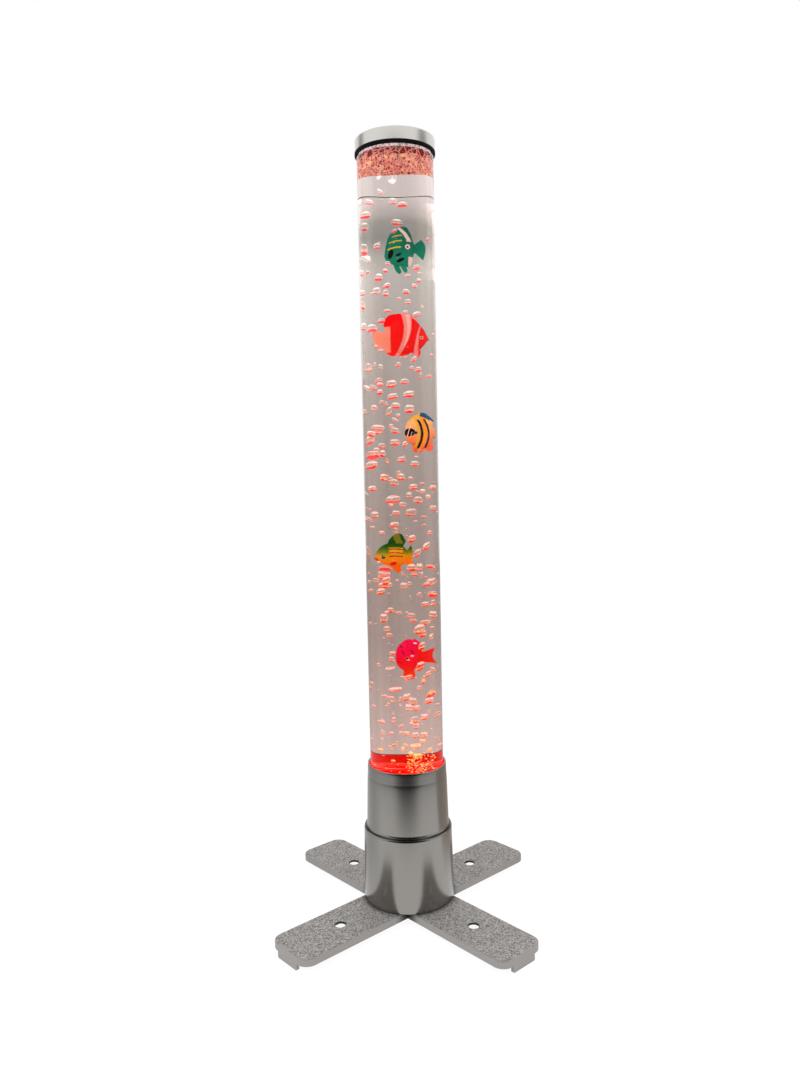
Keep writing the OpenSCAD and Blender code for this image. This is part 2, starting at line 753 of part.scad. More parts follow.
module pump_cover()
    color([0.16, 0.16, 0.17]) difference() {
        union() {
            at_pump(pump_seam)
                soft_slab(pump_size[0], pump_size[1], pump_corner_r, pump_cover_h, 2);
            translate([outlet_at[0], outlet_at[1], pump_high - eps]) {
                cylinder(h = 2, d = 8);
                cylinder(h = outlet_len, d = nozzle_barb_d);
            }
        }
        at_pump(pump_seam) pump_corners() {
            translate([0, 0, -1]) cylinder(h = pump_cover_h + 2, d = screw_hole_d);
            translate([0, 0, pump_cover_h - 3]) cylinder(h = 4, d = screw_head_d + 0.6);
        }
        translate([outlet_at[0], outlet_at[1], pump_high - 4]) cylinder(h = outlet_len + 5, d = 2);
    }

module pump_screws()
    color([0.75, 0.75, 0.77]) at_pump(pump_high - 3) pump_corners()
        mirror([0, 0, 1]) pan_screw(screw_d, pump_cover_h - 3 + 7, screw_head_d, screw_head_h);

module pump_feet()
    color([0.05, 0.05, 0.05]) at_pump(plate_top) pump_corners() {
        cylinder(h = pump_foot_h, d1 = pump_foot_d, d2 = pump_foot_d - 2);
        translate([0, 0, pump_foot_h - eps]) cylinder(h = 1.6, d = 4.6);
    }

module hose_lower()
    color([0.85, 0.88, 0.88]) translate([outlet_at[0], outlet_at[1], pump_high + 2.3]) difference() {
        cylinder(h = valve_low - pump_high - 2.6, d = hose_d);
        translate([0, 0, -1]) cylinder(h = valve_low, d = hose_bore);
    }

module check_valve()
    color([0.9, 0.9, 0.92]) translate([outlet_at[0], outlet_at[1], valve_low]) {
        cylinder(h = valve_len / 2 - 1, d = valve_d - 2);
        translate([0, 0, valve_len / 2 - 1 - eps]) cylinder(h = 2 + 2 * eps, d = valve_d);
        translate([0, 0, valve_len / 2 + 1]) cylinder(h = valve_len / 2 - 1, d = valve_d - 2);
        translate([0, 0, -8]) cylinder(h = 8 + eps, d = nozzle_barb_d);
        translate([0, 0, valve_len - eps]) cylinder(h = 8, d = nozzle_barb_d);
    }

module hose_upper()
    color([0.85, 0.88, 0.88]) difference() {
        swept(hose_route, hose_d, 12);
        swept(concat([hose_route[0] - [0, 0, 1]], hose_route,
                     [hose_route[len(hose_route) - 1] + [0, 0, 1]]), hose_bore, 12);
    }

// ------------------------------------------------------------ electronics

module control_board()
    color([0.1, 0.35, 0.2]) {
        translate([control_x - board_t / 2, -control_size[1] / 2, control_low])
            cube(control_size);
        translate([control_x - board_t / 2 - relay_size[0], relay_at[0], control_low + relay_at[1]])
            cube(relay_size + [eps, 0, 0]);
        translate([control_x + board_t / 2 - eps, plug_at[0], control_low + plug_at[1]])
            cube(plug_size);
        for (y = can_y) translate([control_x + board_t / 2 - eps, y, control_low + can_up])
            rotate([0, 90, 0]) cylinder(h = can_h, d = can_d);
    }

module wiring()
    color([0.1, 0.1, 0.1]) for (route = lead_routes) swept(route, lead_d, 8);

module facing_back(y, z) translate([0, y, z]) rotate([-90, 0, 0]) children();

module dc_inlet() {
    face = spot_y(inlet_z);
    color([0.08, 0.08, 0.08]) {
        difference() {
            union() {
                facing_back(face, inlet_z) cylinder(h = flange_t, d = inlet_flange_d);
                facing_back(face - inlet_len, inlet_z) cylinder(h = inlet_len + eps, d = inlet_barrel_d);
            }
            facing_back(face + flange_t - inlet_depth, inlet_z)
                cylinder(h = inlet_depth + 1, d = inlet_bore_d);
        }
        facing_back(face + flange_t - inlet_depth - eps, inlet_z)
            cylinder(h = inlet_depth - 1, d = inlet_pin_d, $fn = 32);
    }
}

// Seat of a nut of width w on the round wall: its corners touch first
function nut_seat(z, w) = sqrt(pow(housing_wall_r(z + w / 2) - housing_wall, 2)
                               - pow(w / 2 / cos(30), 2)) - seat_gap;

module dc_inlet_nut()
    color([0.7, 0.7, 0.72]) facing_back(nut_seat(inlet_z, inlet_nut_w) - inlet_nut_t, inlet_z)
        hex_nut(inlet_nut_w, inlet_nut_t, inlet_barrel_d + 2 * seat_gap);

module switch_body() {
    face = spot_y(button_z);
    depth = flange_t + button_len - button_proud + 4;
    color([0.08, 0.08, 0.08]) difference() {
        union() {
            facing_back(face, button_z) cylinder(h = flange_t, d = switch_flange_d);
            facing_back(face - switch_len, button_z)
                cylinder(h = switch_len + eps, d = switch_barrel_d);
        }
        facing_back(face + flange_t - depth, button_z)
            cylinder(h = depth + 1, d = button_d + 2 * button_gap);
    }
}

module switch_nut()
    color([0.7, 0.7, 0.72]) facing_back(nut_seat(button_z, switch_nut_w) - switch_nut_t, button_z)
        hex_nut(switch_nut_w, switch_nut_t, switch_barrel_d + 2 * seat_gap);

module push_button() {
    face = spot_y(button_z) + flange_t + button_proud;
    color([0.75, 0.75, 0.75]) difference() {
        facing_back(face - button_len, button_z) cylinder(h = button_len, d = button_d);
        facing_back(face + 14, button_z) sphere(r = 14.5);
    }
}

// -------------------------------------------------------------------- cap

module cap_seal() {
    bevel = 0.6;
    color([0.04, 0.04, 0.04]) rotate_extrude($fn = 128) polygon([
        [spigot_r + seat_gap, tube_top], [tube_r + bond_gap, tube_top],
        [tube_r + bond_gap, seal_low], [seal_r - bevel, seal_low],
        [seal_r, seal_low + bevel], [seal_r, seal_top - bevel],
        [seal_r - bevel, seal_top], [spigot_r + seat_gap, seal_top]]);
}

module cap_shell() {
    cap_r = cap_d / 2;
    spigot_t = 2;
    rib_t = 1.8;
    dome = 0.6;
    vent_d = 3;
    ceiling = cap_top - cap_wall - dome;
    color([0.82, 0.81, 0.79]) difference() {
        union() {
            rotate_extrude($fn = 128) difference() {
                polygon(concat(
                    [[0, seal_top], [cap_r, seal_top]],
                    [for (i = [0 : 6]) let (a = i * 15)
                        [cap_r - cap_edge_r + cap_edge_r * cos(a),
                         cap_top - dome - cap_edge_r + cap_edge_r * sin(a)]],
                    [for (i = [1 : 6]) let (s = 1 - i / 6)
                        [(cap_r - cap_edge_r) * s, cap_top - dome * s * s]]));
                polygon([[0, seal_top - 1], [cap_r - cap_wall, seal_top - 1],
                         [cap_r - cap_wall, ceiling], [0, ceiling]]);
            }
            rotate_extrude($fn = 128)
                translate([spigot_r - spigot_t, tube_top - 2])
                    square([spigot_t, ceiling - tube_top + 2 + eps]);
            ring_of(8, spigot_r - 0.5) translate([0, -rib_t / 2, seal_top + 0.5])
                cube([cap_r - cap_wall - spigot_r + 1, rib_t, ceiling - seal_top]);
        }
        ring_of(vent_count, 30) translate([0, 0, seal_top]) cylinder(h = cap_h + 2, d = vent_d);
    }
}

// ------------------------------------------------------------------- fish

// Plate that stands in the fish's middle plane, drawn as x along, y up
module fin() rotate([90, 0, 0]) translate([0, 0, -fin_t / 2]) linear_extrude(fin_t) children();

// Lofted body, nose at -x: length, height, thickness, root height, fullness
module fish_body(len, high, thick, root, lean = 0.8, full = 0.62) {
    count = 14;
    around = 16;
    loft([for (i = [0 : count])
        let (u = 0.004 + 0.996 * (1 - cos(180 * i / count)) / 2,
             swell = pow(sin(180 * pow(u, lean) * 0.985), full),
             hz = high / 2 * swell + root / 2 * u + 0.2,
             hy = thick / 2 * swell + 0.7 * u + 0.2)
            [for (j = [0 : around - 1]) let (a = 360 * j / around)
                [(u - 0.5) * len, hy * cos(a), hz * sin(a)]]]);
}

// Fan-shaped fin: root at the origin, opening along +x
function fan(r, half, root, n = 8) = concat(
    [[-3, -root], [-3, root]],
    [for (i = [0 : n]) let (a = half - 2 * half * i / n)
        (r - 0.12 * r * cos(a * 90 / half)) * [cos(a), sin(a)]]);

// Fin along the back from x0 to x1, as high as rise over the line at z0
function sail(x0, x1, z0, rise, lean, n = 9) = concat(
    [[x1, z0 - 4], [x0, z0 - 4]],
    [for (i = [0 : n]) let (u = i / n)
        [x0 + (x1 - x0) * u + lean * sin(180 * u), z0 + rise * pow(sin(20 + 150 * u), 0.8)]]);

// Small pointed fin hanging under the belly
function hanging(x, z, len, wide, lean) =
    [[x - wide / 2, z + 3], [x + wide / 2, z + 3], [x + wide / 2 + lean, z - len * 0.8],
     [x + lean, z - len], [x - wide / 2 + lean * 0.5, z - len * 0.6]];

module fish_green()
    color([0.05, 0.5, 0.42]) translate([2, 0, green_z]) {
        rotate([0, 14, 0]) fish_body(31, 48, fish_t, 7, 0.95, 0.62);
        fin() translate([14, 0]) polygon(fan(15, 38, 3));
        fin() rotate([0, 0, -14]) {
            polygon(sail(-2, 13, 16, 7, 3));
            mirror([0, 1]) polygon(sail(2, 13, 14, 6, 2));
        }
        fin() for (x = [-4, 2]) polygon(hanging(x, -22, 10, 5, 2));
    }

module fish_red()
    color([0.95, 0.08, 0.05]) translate([8, 0, red_z]) mirror([1, 0, 0]) {
        translate([-3, 0, -2]) rotate([0, -4, 0]) fish_body(48, 42, fish_t, 9, 0.95, 0.85);
        fin() translate([18, -3]) polygon(fan(13, 36, 4));
        fin() {
            polygon(sail(-9, 20, 15, 11, 3));
            mirror([0, 1]) polygon(sail(2, 20, 13, 11, 3));
            polygon(hanging(-8, -18, 10, 7, 3));
        }
    }

module fish_striped()
    color([0.95, 0.65, 0.3]) translate([19, 0, striped_z]) {
        translate([-3, 0, 0]) fish_body(34, 45, fish_t, 8, 0.9, 0.6);
        fin() {
            translate([16, 0]) polygon(fan(9, 38, 4));
            rotate([0, 0, -16]) polygon(sail(-8, 17, 15, 12, 5));
            rotate([0, 0, 14]) mirror([0, 1]) polygon(sail(-1, 14, 14, 9, 3));
            for (x = [-6, 0]) polygon(hanging(x, -19, 9, 5, 1));
        }
    }

module fish_golden()
    color([0.45, 0.55, 0.1]) translate([-9, 0, golden_z]) {
        translate([-1, 0, -5]) rotate([0, 6, 0]) fish_body(40, 31, fish_t, 8, 0.85, 0.62);
        fin() {
            translate([17, -6]) polygon(fan(11, 40, 4));
            polygon(sail(-9, 8, 6, 20, 4));
            polygon(hanging(2, -16, 9, 8, 3));
            translate([12, -9]) rotate([0, 0, -50]) polygon(fan(9, 30, 3));
        }
    }

module fish_pink()
    color([0.95, 0.1, 0.25]) translate([9, 0, pink_z]) {
        translate([-6, 0, 1]) rotate([0, -8, 0]) fish_body(28, 48, fish_t, 11, 0.95, 0.62);
        fin() {
            translate([6, -2]) polygon(fan(24, 30, 6));
            rotate([0, 0, -14]) polygon(sail(-8, 10, 17, 10, 5));
            for (x = [-6, -1]) polygon(hanging(x, -20, 11, 6, 2));
            rotate([0, 0, 22]) mirror([0, 1]) polygon(sail(0, 11, 15, 7, 3));
        }
    }

foot_bar_lower();
foot_bar_upper();
foot_screws();
base_plate();
base_plate_screws();
lower_housing();
seam_gasket();
upper_cone();
rim_seal();
tube_socket();
socket_screws();
bubble_tube();
tube_floor();
air_nozzle();
nozzle_seal();
nozzle_nut();
led_board();
led_emitters();
led_spacers();
led_board_screws();
pump_case();
pump_cover();
pump_screws();
pump_feet();
hose_lower();
check_valve();
hose_upper();
control_board();
wiring();
dc_inlet();
dc_inlet_nut();
switch_body();
switch_nut();
push_button();
cap_seal();
cap_shell();
fish_green();
fish_red();
fish_striped();
fish_golden();
fish_pink();
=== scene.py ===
import math

import bmesh
import bpy
from mathutils import Matrix, Vector, noise


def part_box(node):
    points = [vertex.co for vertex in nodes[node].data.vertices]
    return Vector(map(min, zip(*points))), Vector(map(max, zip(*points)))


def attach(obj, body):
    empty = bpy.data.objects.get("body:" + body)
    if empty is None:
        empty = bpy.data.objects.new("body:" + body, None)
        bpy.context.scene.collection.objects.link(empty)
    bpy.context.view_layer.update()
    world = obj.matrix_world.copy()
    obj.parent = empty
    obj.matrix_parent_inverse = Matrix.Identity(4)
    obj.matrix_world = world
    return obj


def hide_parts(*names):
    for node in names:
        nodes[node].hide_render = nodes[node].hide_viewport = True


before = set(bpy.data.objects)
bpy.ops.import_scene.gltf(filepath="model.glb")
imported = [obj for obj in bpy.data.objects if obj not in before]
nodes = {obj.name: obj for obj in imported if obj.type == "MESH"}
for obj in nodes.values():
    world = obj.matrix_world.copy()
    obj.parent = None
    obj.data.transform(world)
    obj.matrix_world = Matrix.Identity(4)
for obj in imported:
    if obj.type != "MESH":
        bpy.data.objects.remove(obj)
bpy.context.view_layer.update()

MM = 0.001

# ---------------------------------------------------------------- the studio
# A pale floor and white surroundings with soft lamps and dark flags beside the
# lamp. The flags show only in gloss, as the shaded sides of a room do.


class Wire:
    """An output of a node, so that sums of outputs are written as sums."""

    def __init__(self, socket):
        self.socket, self.tree = socket, socket.id_data

    def peer(self, key):
        """Another output of the same node."""
        return Wire(self.socket.node.outputs[key])

    def __add__(self, other):
        return maths("ADD", self, other)

    def __sub__(self, other):
        return maths("SUBTRACT", self, other)

    def __mul__(self, other):
        return maths("MULTIPLY", self, other)

    def __truediv__(self, other):
        return maths("DIVIDE", self, other)

    def __abs__(self):
        return maths("ABSOLUTE", self)


def feed(node, sockets):
    """Gives a node's inputs their values or their wires."""
    for key, value in sockets.items():
        if isinstance(value, Wire):
            value.tree.links.new(value.socket, node.inputs[key])
        else:
            node.inputs[key].default_value = value


def add(tree, kind, sockets=None, out=0, **settings):
    """Adds a node with its settings and inputs, and gives one of its outputs."""
    node = tree.nodes.new(kind if "Node" in kind else "ShaderNode" + kind)
    for key, value in settings.items():
        setattr(node, key, value)
    feed(node, sockets or {})
    return Wire(node.outputs[out]) if node.outputs else node


def tree_of(*values):
    return next(value.tree for value in values if isinstance(value, Wire))


def maths(operation, a, b=0.0, c=0.0, clamp=False):
    return add(tree_of(a, b, c), "Math", {0: a, 1: b, 2: c}, operation=operation, use_clamp=clamp)


def vector(operation, a, b=(0, 0, 0), c=(0, 0, 0)):
    """Vector arithmetic, where lengths and distances come out as numbers."""
    out = "Value" if operation in ("LENGTH", "DISTANCE") else 0
    return add(tree_of(a, b, c), "VectorMath", {0: a, 1: b, 2: c}, out, operation=operation)


def remap(value, low, high, to_low=0.0, to_high=1.0, kind="LINEAR"):
    """The share of the way from low to high as one from to_low to to_high."""
    return add(value.tree, "MapRange", {"Value": value, "From Min": low, "From Max": high,
                                        "To Min": to_low, "To Max": to_high},
               interpolation_type=kind)


def here(tree):
    """The shaded point, in the object's own frame."""
    return add(tree, "TexCoord", out="Object")


def seen_directly(tree):
    """1 for rays from the camera, a mirror or a pane, and 0 for lighting."""
    from_camera = add(tree, "LightPath", out="Is Camera Ray")
    either = maths("MAXIMUM", from_camera, from_camera.peer("Is Glossy Ray"))
    return maths("MAXIMUM", either, from_camera.peer("Is Transmission Ray"))


def linked(name, data):
    """A new object in the scene."""
    obj = bpy.data.objects.new(name, data)
    bpy.context.scene.collection.objects.link(obj)
    return obj


def blank(name):
    """A material with an empty tree."""
    mat = bpy.data.materials.new(name)
    mat.use_nodes = True
    mat.node_tree.nodes.clear()
    return mat, mat.node_tree


def stage_sheet(name, corners, mat):
    """A flat sheet between four corners, which belongs to the stage."""
    mesh = bpy.data.meshes.new(name)
    mesh.from_pydata(corners, [], [(0, 1, 2, 3)])
    mesh.materials.append(mat)
    obj = linked(name, mesh)
    return obj


CAMERA_AT = (0.05655, -1.1383, 0.6123)
YAW, PITCH, ROLL = math.radians(-3.002), math.radians(4.639), -0.02

camera_data = bpy.data.cameras.new("camera")
camera_data.lens = 28.62
camera_data.sensor_width = 36
camera_data.clip_start = 0.02
camera_data.clip_end = 60
camera = linked("camera", camera_data)
level = Vector((math.sin(YAW), math.cos(YAW), 0))
right = Vector((math.cos(YAW), -math.sin(YAW), 0))
ahead = level * math.cos(PITCH) - Vector((0, 0, 1)) * math.sin(PITCH)
upward = Vector((0, 0, 1)) * math.cos(PITCH) + level * math.sin(PITCH)
side = right * math.cos(ROLL) + upward * math.sin(ROLL)
top = upward * math.cos(ROLL) - right * math.sin(ROLL)
camera.matrix_world = Matrix.Translation(CAMERA_AT) @ Matrix(
    [[side[i], top[i], -ahead[i]] for i in range(3)]).to_4x4()
bpy.context.scene.camera = camera
bpy.context.scene.view_settings.view_transform = "Standard"

WHITE = (1, 1, 1, 1)
world = bpy.data.worlds.new("surroundings")
bpy.context.scene.world = world
world.use_nodes = True
sky = world.node_tree
sky.nodes.clear()
shown = add(sky, "Background", {"Color": WHITE, "Strength": 1.0})
lighting = add(sky, "Background", {"Color": WHITE, "Strength": 0.72})
add(sky, "OutputWorld",
    {0: add(sky, "MixShader", {0: seen_directly(sky), 1: lighting, 2: shown})})

floor_paint, tree = blank("floor_paint")
matt = add(tree, "BsdfDiffuse", {"Color": (0.9, 0.9, 0.9, 1)})
white = add(tree, "Emission", {"Color": WHITE, "Strength": 1.075})
add(tree, "OutputMaterial",
    {0: add(tree, "MixShader", {0: seen_directly(tree) * 0.87, 1: matt, 2: white})})
stage_sheet("floor", [(-8, -8, 0), (8, -8, 0), (8, 8, 0), (-8, 8, 0)], floor_paint)

NO_LIMIT = 9.0


def flag(name, corners, centre, reach, depth, tone=(0.02, 0.018, 0.016), inner=0.35, beyond=0.0):
    """A dark patch that only gloss shows: as dark as depth says up to inner of
    its reach, as dark as beyond says past it, and soft in between."""
    mat, tree = blank(name)
    away = vector("DIVIDE", vector("SUBTRACT", here(tree), centre), reach)
    dark = remap(vector("LENGTH", away), inner, 1.0, depth, beyond, "SMOOTHSTEP")
    clear = add(tree, "BsdfTransparent", {"Color": WHITE})
    black = add(tree, "Emission", {"Color": (*tone, 1), "Strength": 1.0})
    add(tree, "OutputMaterial", {0: add(tree, "MixShader", {0: dark, 1: clear, 2: black})})
    obj = stage_sheet(name, corners, mat)
    obj.visible_camera = obj.visible_diffuse = obj.visible_transmission = False
    obj.visible_shadow = False


def upright(name, centre, width, height, depth, **settings):
    """An upright flag that faces the lamp."""
    middle = Vector(centre)
    along = Vector((-middle.y, middle.x, 0)).normalized() * width
    rise = Vector((0, 0, height))
    wide, deep = max(abs(along.x), 0.02), max(abs(along.y), 0.02)
    reach = (wide, NO_LIMIT, height) if wide > 0.1 else (NO_LIMIT, deep, height)
    flag(name, [middle - along - rise, middle + along - rise,
                middle + along + rise, middle - along + rise], centre, reach, depth, **settings)


def lying(name, low, high, centre, reach, depth, z=0.002, **settings):
    """A level flag between two corners, all given as (x, y)."""
    flag(name, [(low[0], low[1], z), (high[0], low[1], z), (high[0], high[1], z),
                (low[0], high[1], z)], (*centre, z), (*reach, NO_LIMIT), depth, **settings)


lying("floor_far", (-4, -4), (4, 4), (0, 0), (0.85, 0.85), 0.0, inner=0.5, beyond=0.55)
lying("floor_shade", (-1.2, -1.6), (1.2, -0.2), (0.03, -0.95), (0.6, 0.72), 0.97, z=0.003,
      inner=0.4)
lying("floor_front", (-4, -3.4), (4, -0.6), (0.05, -1.8), (4.0, 1.2), 1.0, z=0.004, inner=0.8)
lying("floor_back", (0.1, 0.0), (1.1, 1.0), (0.5, 0.34), (0.5, 0.5), 0.85, z=0.004,
      tone=(0.42, 0.35, 0.29), inner=0.6)
lying("floor_left", (-0.9, -0.1), (-0.05, 0.8), (-0.34, 0.22), (0.42, 0.42), 0.3, z=0.004)
lying("hood", (-0.45, -0.6), (0.45, -0.07), (0.0, -0.3), (0.45, NO_LIMIT), 1.0, z=0.93, inner=0.6)
upright("near_front", (0.03, -0.6, 0.42), 0.68, 0.52, 1.0, inner=0.66)
upright("room_front", (0.05, -1.3, 0.36), 1.9, 1.08, 1.0, inner=0.86)
upright("room_left", (-1.41, 0.51, 1.52), 0.5, 0.5, 0.75)
upright("room_right", (1.5, -0.05, 1.5), 0.65, 0.6, 0.75)
upright("wall_right", (0.9, 0.75, 0.45), 0.5, 1.1, 0.7, tone=(0.2, 0.16, 0.13))
upright("wall_left", (-0.9, 0.75, 0.45), 0.4, 1.1, 0.6)

for name, place, power in (("lamp_left", (-1.5, -1.6, 1.9), 26),
                           ("lamp_right", (1.7, -1.2, 1.5), 14)):
    data = bpy.data.lights.new(name, "AREA")
    data.shape = "SQUARE"
    data.size = 1.2
    data.energy = power
    lamp = linked(name, data)
    lamp.location = place
    lamp.rotation_mode = "QUATERNION"
    lamp.rotation_quaternion = (Vector((0, 0, 0.4)) - Vector(place)).to_track_quat("-Z", "Y")
    lamp.visible_glossy = False

# ---------------------------------------------------------------- cross foot
# Two moulded bars, half-lapped at the middle. Their tops have a fine sparkling
# speckle, and their sides and the thin tabs at their ends are smooth.


def shader(name, **sockets):
    """A material with its Principled inputs set, its tree and its Principled node."""
    mat = bpy.data.materials.new(name)
    mat.use_nodes = True
    skin = mat.node_tree.nodes["Principled BSDF"]
    feed(skin, {key.replace("_", " "): value for key, value in sockets.items()})
    return mat, mat.node_tree, skin


def node_group(name, inputs, outputs, kind="ShaderNodeTree"):
    """An empty group with its inputs' defaults and its outputs' kinds; gives also
    its inputs by name and its output node."""
    tree = bpy.data.node_groups.new(name, kind)
    for label, value in inputs.items():
        kind = {3: "Vector", 4: "Color"}[len(value)] if isinstance(value, tuple) else (
            type(value).__name__.title())
        socket = tree.interface.new_socket(label, in_out="INPUT", socket_type="NodeSocket" + kind)
        socket.default_value = value
    for label, kind in outputs.items():
        tree.interface.new_socket(label, in_out="OUTPUT", socket_type="NodeSocket" + kind)
    given = tree.nodes.new("NodeGroupInput").outputs
    return tree, {s.name: Wire(s) for s in given if s.name}, tree.nodes.new("NodeGroupOutput")


def split(value, kind="SeparateXYZ"):
    """The three parts of a vector or a colour."""
    first = add(value.tree, kind, {0: value})
    return [first.peer(k) for k in range(3)]


def scaled(value, by):
    """A vector or colour times a number."""
    return add(tree_of(value, by), "VectorMath", {0: value, "Scale": by}, operation="SCALE")


def mottle(place, scale, detail=2.0, out=0, **sockets):
    """Noise with as many waves to the metre as scale says."""
    return add(place.tree, "TexNoise",
               {"Vector": place, "Scale": scale, "Detail": detail, **sockets}, out)


def bump(height, distance, strength=1.0):
    """A normal for a relief whose depth is given in millimetres."""
    return add(height.tree, "Bump",
               {"Height": height, "Distance": distance * MM, "Strength": strength})


# Grain: fine unevenness of a moulded or lacquered surface
grain, given, put = node_group(
    "grain", {"Size": 1.0, "Shade": 0.1, "Gloss": 0.1, "Roughness": 0.5, "Colour": WHITE},
    {"Colour": "Color", "Roughness": "Float", "Height": "Float"})
fine = mottle(here(grain), maths("DIVIDE", 1000.0, given["Size"]), 3.0, Roughness=0.6)
broad = mottle(here(grain), 14.0) - 0.5
lift = broad * (given["Shade"] * 0.5) + ((fine - 0.5) * given["Shade"] + 1.0)
feed(put, {"Colour": scaled(given["Colour"], lift),
           "Roughness": broad * given["Gloss"] + given["Roughness"], "Height": fine})


def finish(name, colour, roughness, size=1.2, shade=0.12, gloss=0.15, relief=0.0, **sockets):
    """A moulded or lacquered finish: grain over one colour."""
    mat, tree, skin = shader(name, **sockets)
    cell = add(tree, "Group", {"Size": size, "Shade": shade, "Gloss": gloss,
                               "Roughness": roughness, "Colour": (*colour, 1)}, node_tree=grain)
    feed(skin, {"Base Color": cell, "Roughness": cell.peer("Roughness")})
    if relief:
        feed(skin, {"Normal": bump(cell.peer("Height"), relief)})
    mat.diffuse_color = (*colour, 1)
    return mat


def dress(mat, *names):
    """Gives carried-over CAD nodes their material."""
    for name in names:
        mesh = nodes[name].data
        mesh.materials.clear()
        mesh.materials.append(mat)


FOOT_GREY = (0.36, 0.34, 0.325)
HOLE_AT = (0.08641, 0.08641, 0)

speckle, tree, skin = shader("foot_speckle", Metallic=0.35)
place = here(tree)
flakes = add(tree, "TexVoronoi", {"Vector": place, "Scale": 860.0}, "Color", feature="F1")
grit = mottle(place, 1100.0, Roughness=0.7)
sparkle = (grit - 0.5) * 1.2 + split(flakes, "SeparateColor")[0]
on_top = remap(split(add(tree, "NewGeometry", out="Normal"))[2], 0.9, 0.97)
dotted = remap(sparkle, 0.0, 1.15, 0.3, 1.85)
flat = vector("MULTIPLY", place, (1, 1, 0))
# Painted shade: the tops darken towards the drum for its contact shadow, and the walls of the
# screw holes are painted nearly black.
drum_contact_shade = remap(vector("LENGTH", flat), 0.054, 0.073, 0.12, 1.0, "SMOOTHERSTEP")
hole_wall_shade = remap(vector("DISTANCE", vector("ABSOLUTE", flat), HOLE_AT), 0.0074, 0.0083, 0.04)
shade = add(tree, "Mix", {0: on_top, 2: 0.9, 3: dotted}) * drum_contact_shade * hole_wall_shade
feed(skin, {"Base Color": scaled(FOOT_GREY, shade),
            "Roughness": add(tree, "Mix", {0: on_top, 2: 0.42, 3: 0.6}),
            "Normal": bump(sparkle * on_top, 0.25, 0.6)})
speckle.diffuse_color = (*FOOT_GREY, 1)
dress(speckle, "foot_bar_lower", "foot_bar_upper")

zinc = finish("zinc_plate", (0.62, 0.62, 0.64), 0.34, size=0.6, shade=0.2, Metallic=1.0)
dress(zinc, "foot_screws", "base_plate_screws", "socket_screws", "led_board_screws",
      "pump_screws", "dc_inlet_nut", "switch_nut")

# -------------------------------------------------------- housing and cone
# The two-stage base: a drum with a rolled shoulder and a slim cone over it,
# both moulded and sprayed with a satin metallic grey. A black gasket parts them.


def mesh_of(name, work):
    """What a bmesh holds, as a mesh."""
    mesh = bpy.data.meshes.new(name)
    work.to_mesh(mesh)
    work.free()
    return mesh


def smooth(name, mesh, mats, angle):
    """An object with smooth curves, sharp where its faces turn by more than angle."""
    mesh.shade_smooth()
    mesh.set_sharp_from_angle(angle=math.radians(angle))
    for mat in mats:
        mesh.materials.append(mat)
    return linked(name, mesh)


def merged_copy(name, node, mat):
    """A CAD node as one joined mesh with smooth curves, to stand for it."""
    work = bmesh.new()
    work.from_mesh(nodes[node].data)
    bmesh.ops.remove_doubles(work, verts=work.verts, dist=2e-6)
    mesh = mesh_of(name, work)
    for mark in ("sharp_face", "custom_normal"):
        if mark in mesh.attributes:
            mesh.attributes.remove(mesh.attributes[mark])
    obj = smooth(name, mesh, [mat], 32)
    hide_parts(node)
    return obj


def lathe(name, profile, mats, segments=192, which=None, closed=True, angle=30):
    """A ring turned from (radius, height) points in millimetres; which gives
    the material of each step of the profile."""
    work = bmesh.new()
    rings = []
    for r, z in profile:
        if r < 1e-6:
            rings.append([work.verts.new((0, 0, z * MM))] * segments)
        else:
            turns = [2 * math.pi * k / segments for k in range(segments)]
            rings.append([work.verts.new((r * MM * math.cos(a), r * MM * math.sin(a), z * MM))
                          for a in turns])
    for i in range(len(rings) if closed else len(rings) - 1):
        low, high = rings[i], rings[(i + 1) % len(rings)]
        for k in range(segments):
            m = (k + 1) % segments
            loop = [low[k], low[m], high[m], high[k]]
            loop = [v for n, v in enumerate(loop) if v not in loop[:n]]
            if len(loop) > 2:
                work.faces.new(loop).material_index = which[i] if which else 0
    bmesh.ops.recalc_face_normals(work, faces=work.faces)
    return smooth(name, mesh_of(name, work), mats, angle)


lacquer = finish("satin_lacquer", (0.298, 0.286, 0.268), 0.225, size=0.5, shade=0.05,
                 gloss=0.05, Metallic=1.0)
skin = lacquer.node_tree.nodes["Principled BSDF"]
height = split(here(lacquer.node_tree))[2]
shade = Wire(skin.inputs["Base Color"].links[0].from_socket)
# Painted shade: the lacquer darkens in the crease where the cone meets the drum, and a painted
# shadow line runs where the drum stands on the foot.
for crease_at, reach, darkest in ((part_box("lower_housing")[1].z, 1.9 * MM, 0.22),
                                  (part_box("foot_bar_upper")[1].z, 1.3 * MM, 0.03)):
    shade = scaled(shade, remap(abs(height - crease_at), 0.3 * reach, reach, darkest))
feed(skin, {"Base Color": shade})
drum = merged_copy("drum", "lower_housing", lacquer)
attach(drum, "stand")
cone = merged_copy("cone", "upper_cone", lacquer)
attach(cone, "stand")

rubber = finish("black_rubber", (0.003, 0.003, 0.003), 0.6, size=0.8, Specular_IOR_Level=0.08)
moulded = finish("black_plastic", (0.02, 0.02, 0.022), 0.5, size=0.5, relief=0.02)
dress(rubber, "seam_gasket", "nozzle_seal", "pump_feet")
dress(moulded, "base_plate", "tube_socket", "nozzle_nut", "pump_case", "pump_cover",
      "dc_inlet", "switch_body")
dress(finish("button_lacquer", (0.6, 0.6, 0.6), 0.35, size=0.5), "push_button")

# ------------------------------------------------- pump, boards and wiring
# What the base holds: a membrane pump on rubber feet, a silicone hose with a
# check valve, the control board and its leads, and the ring of red lights.

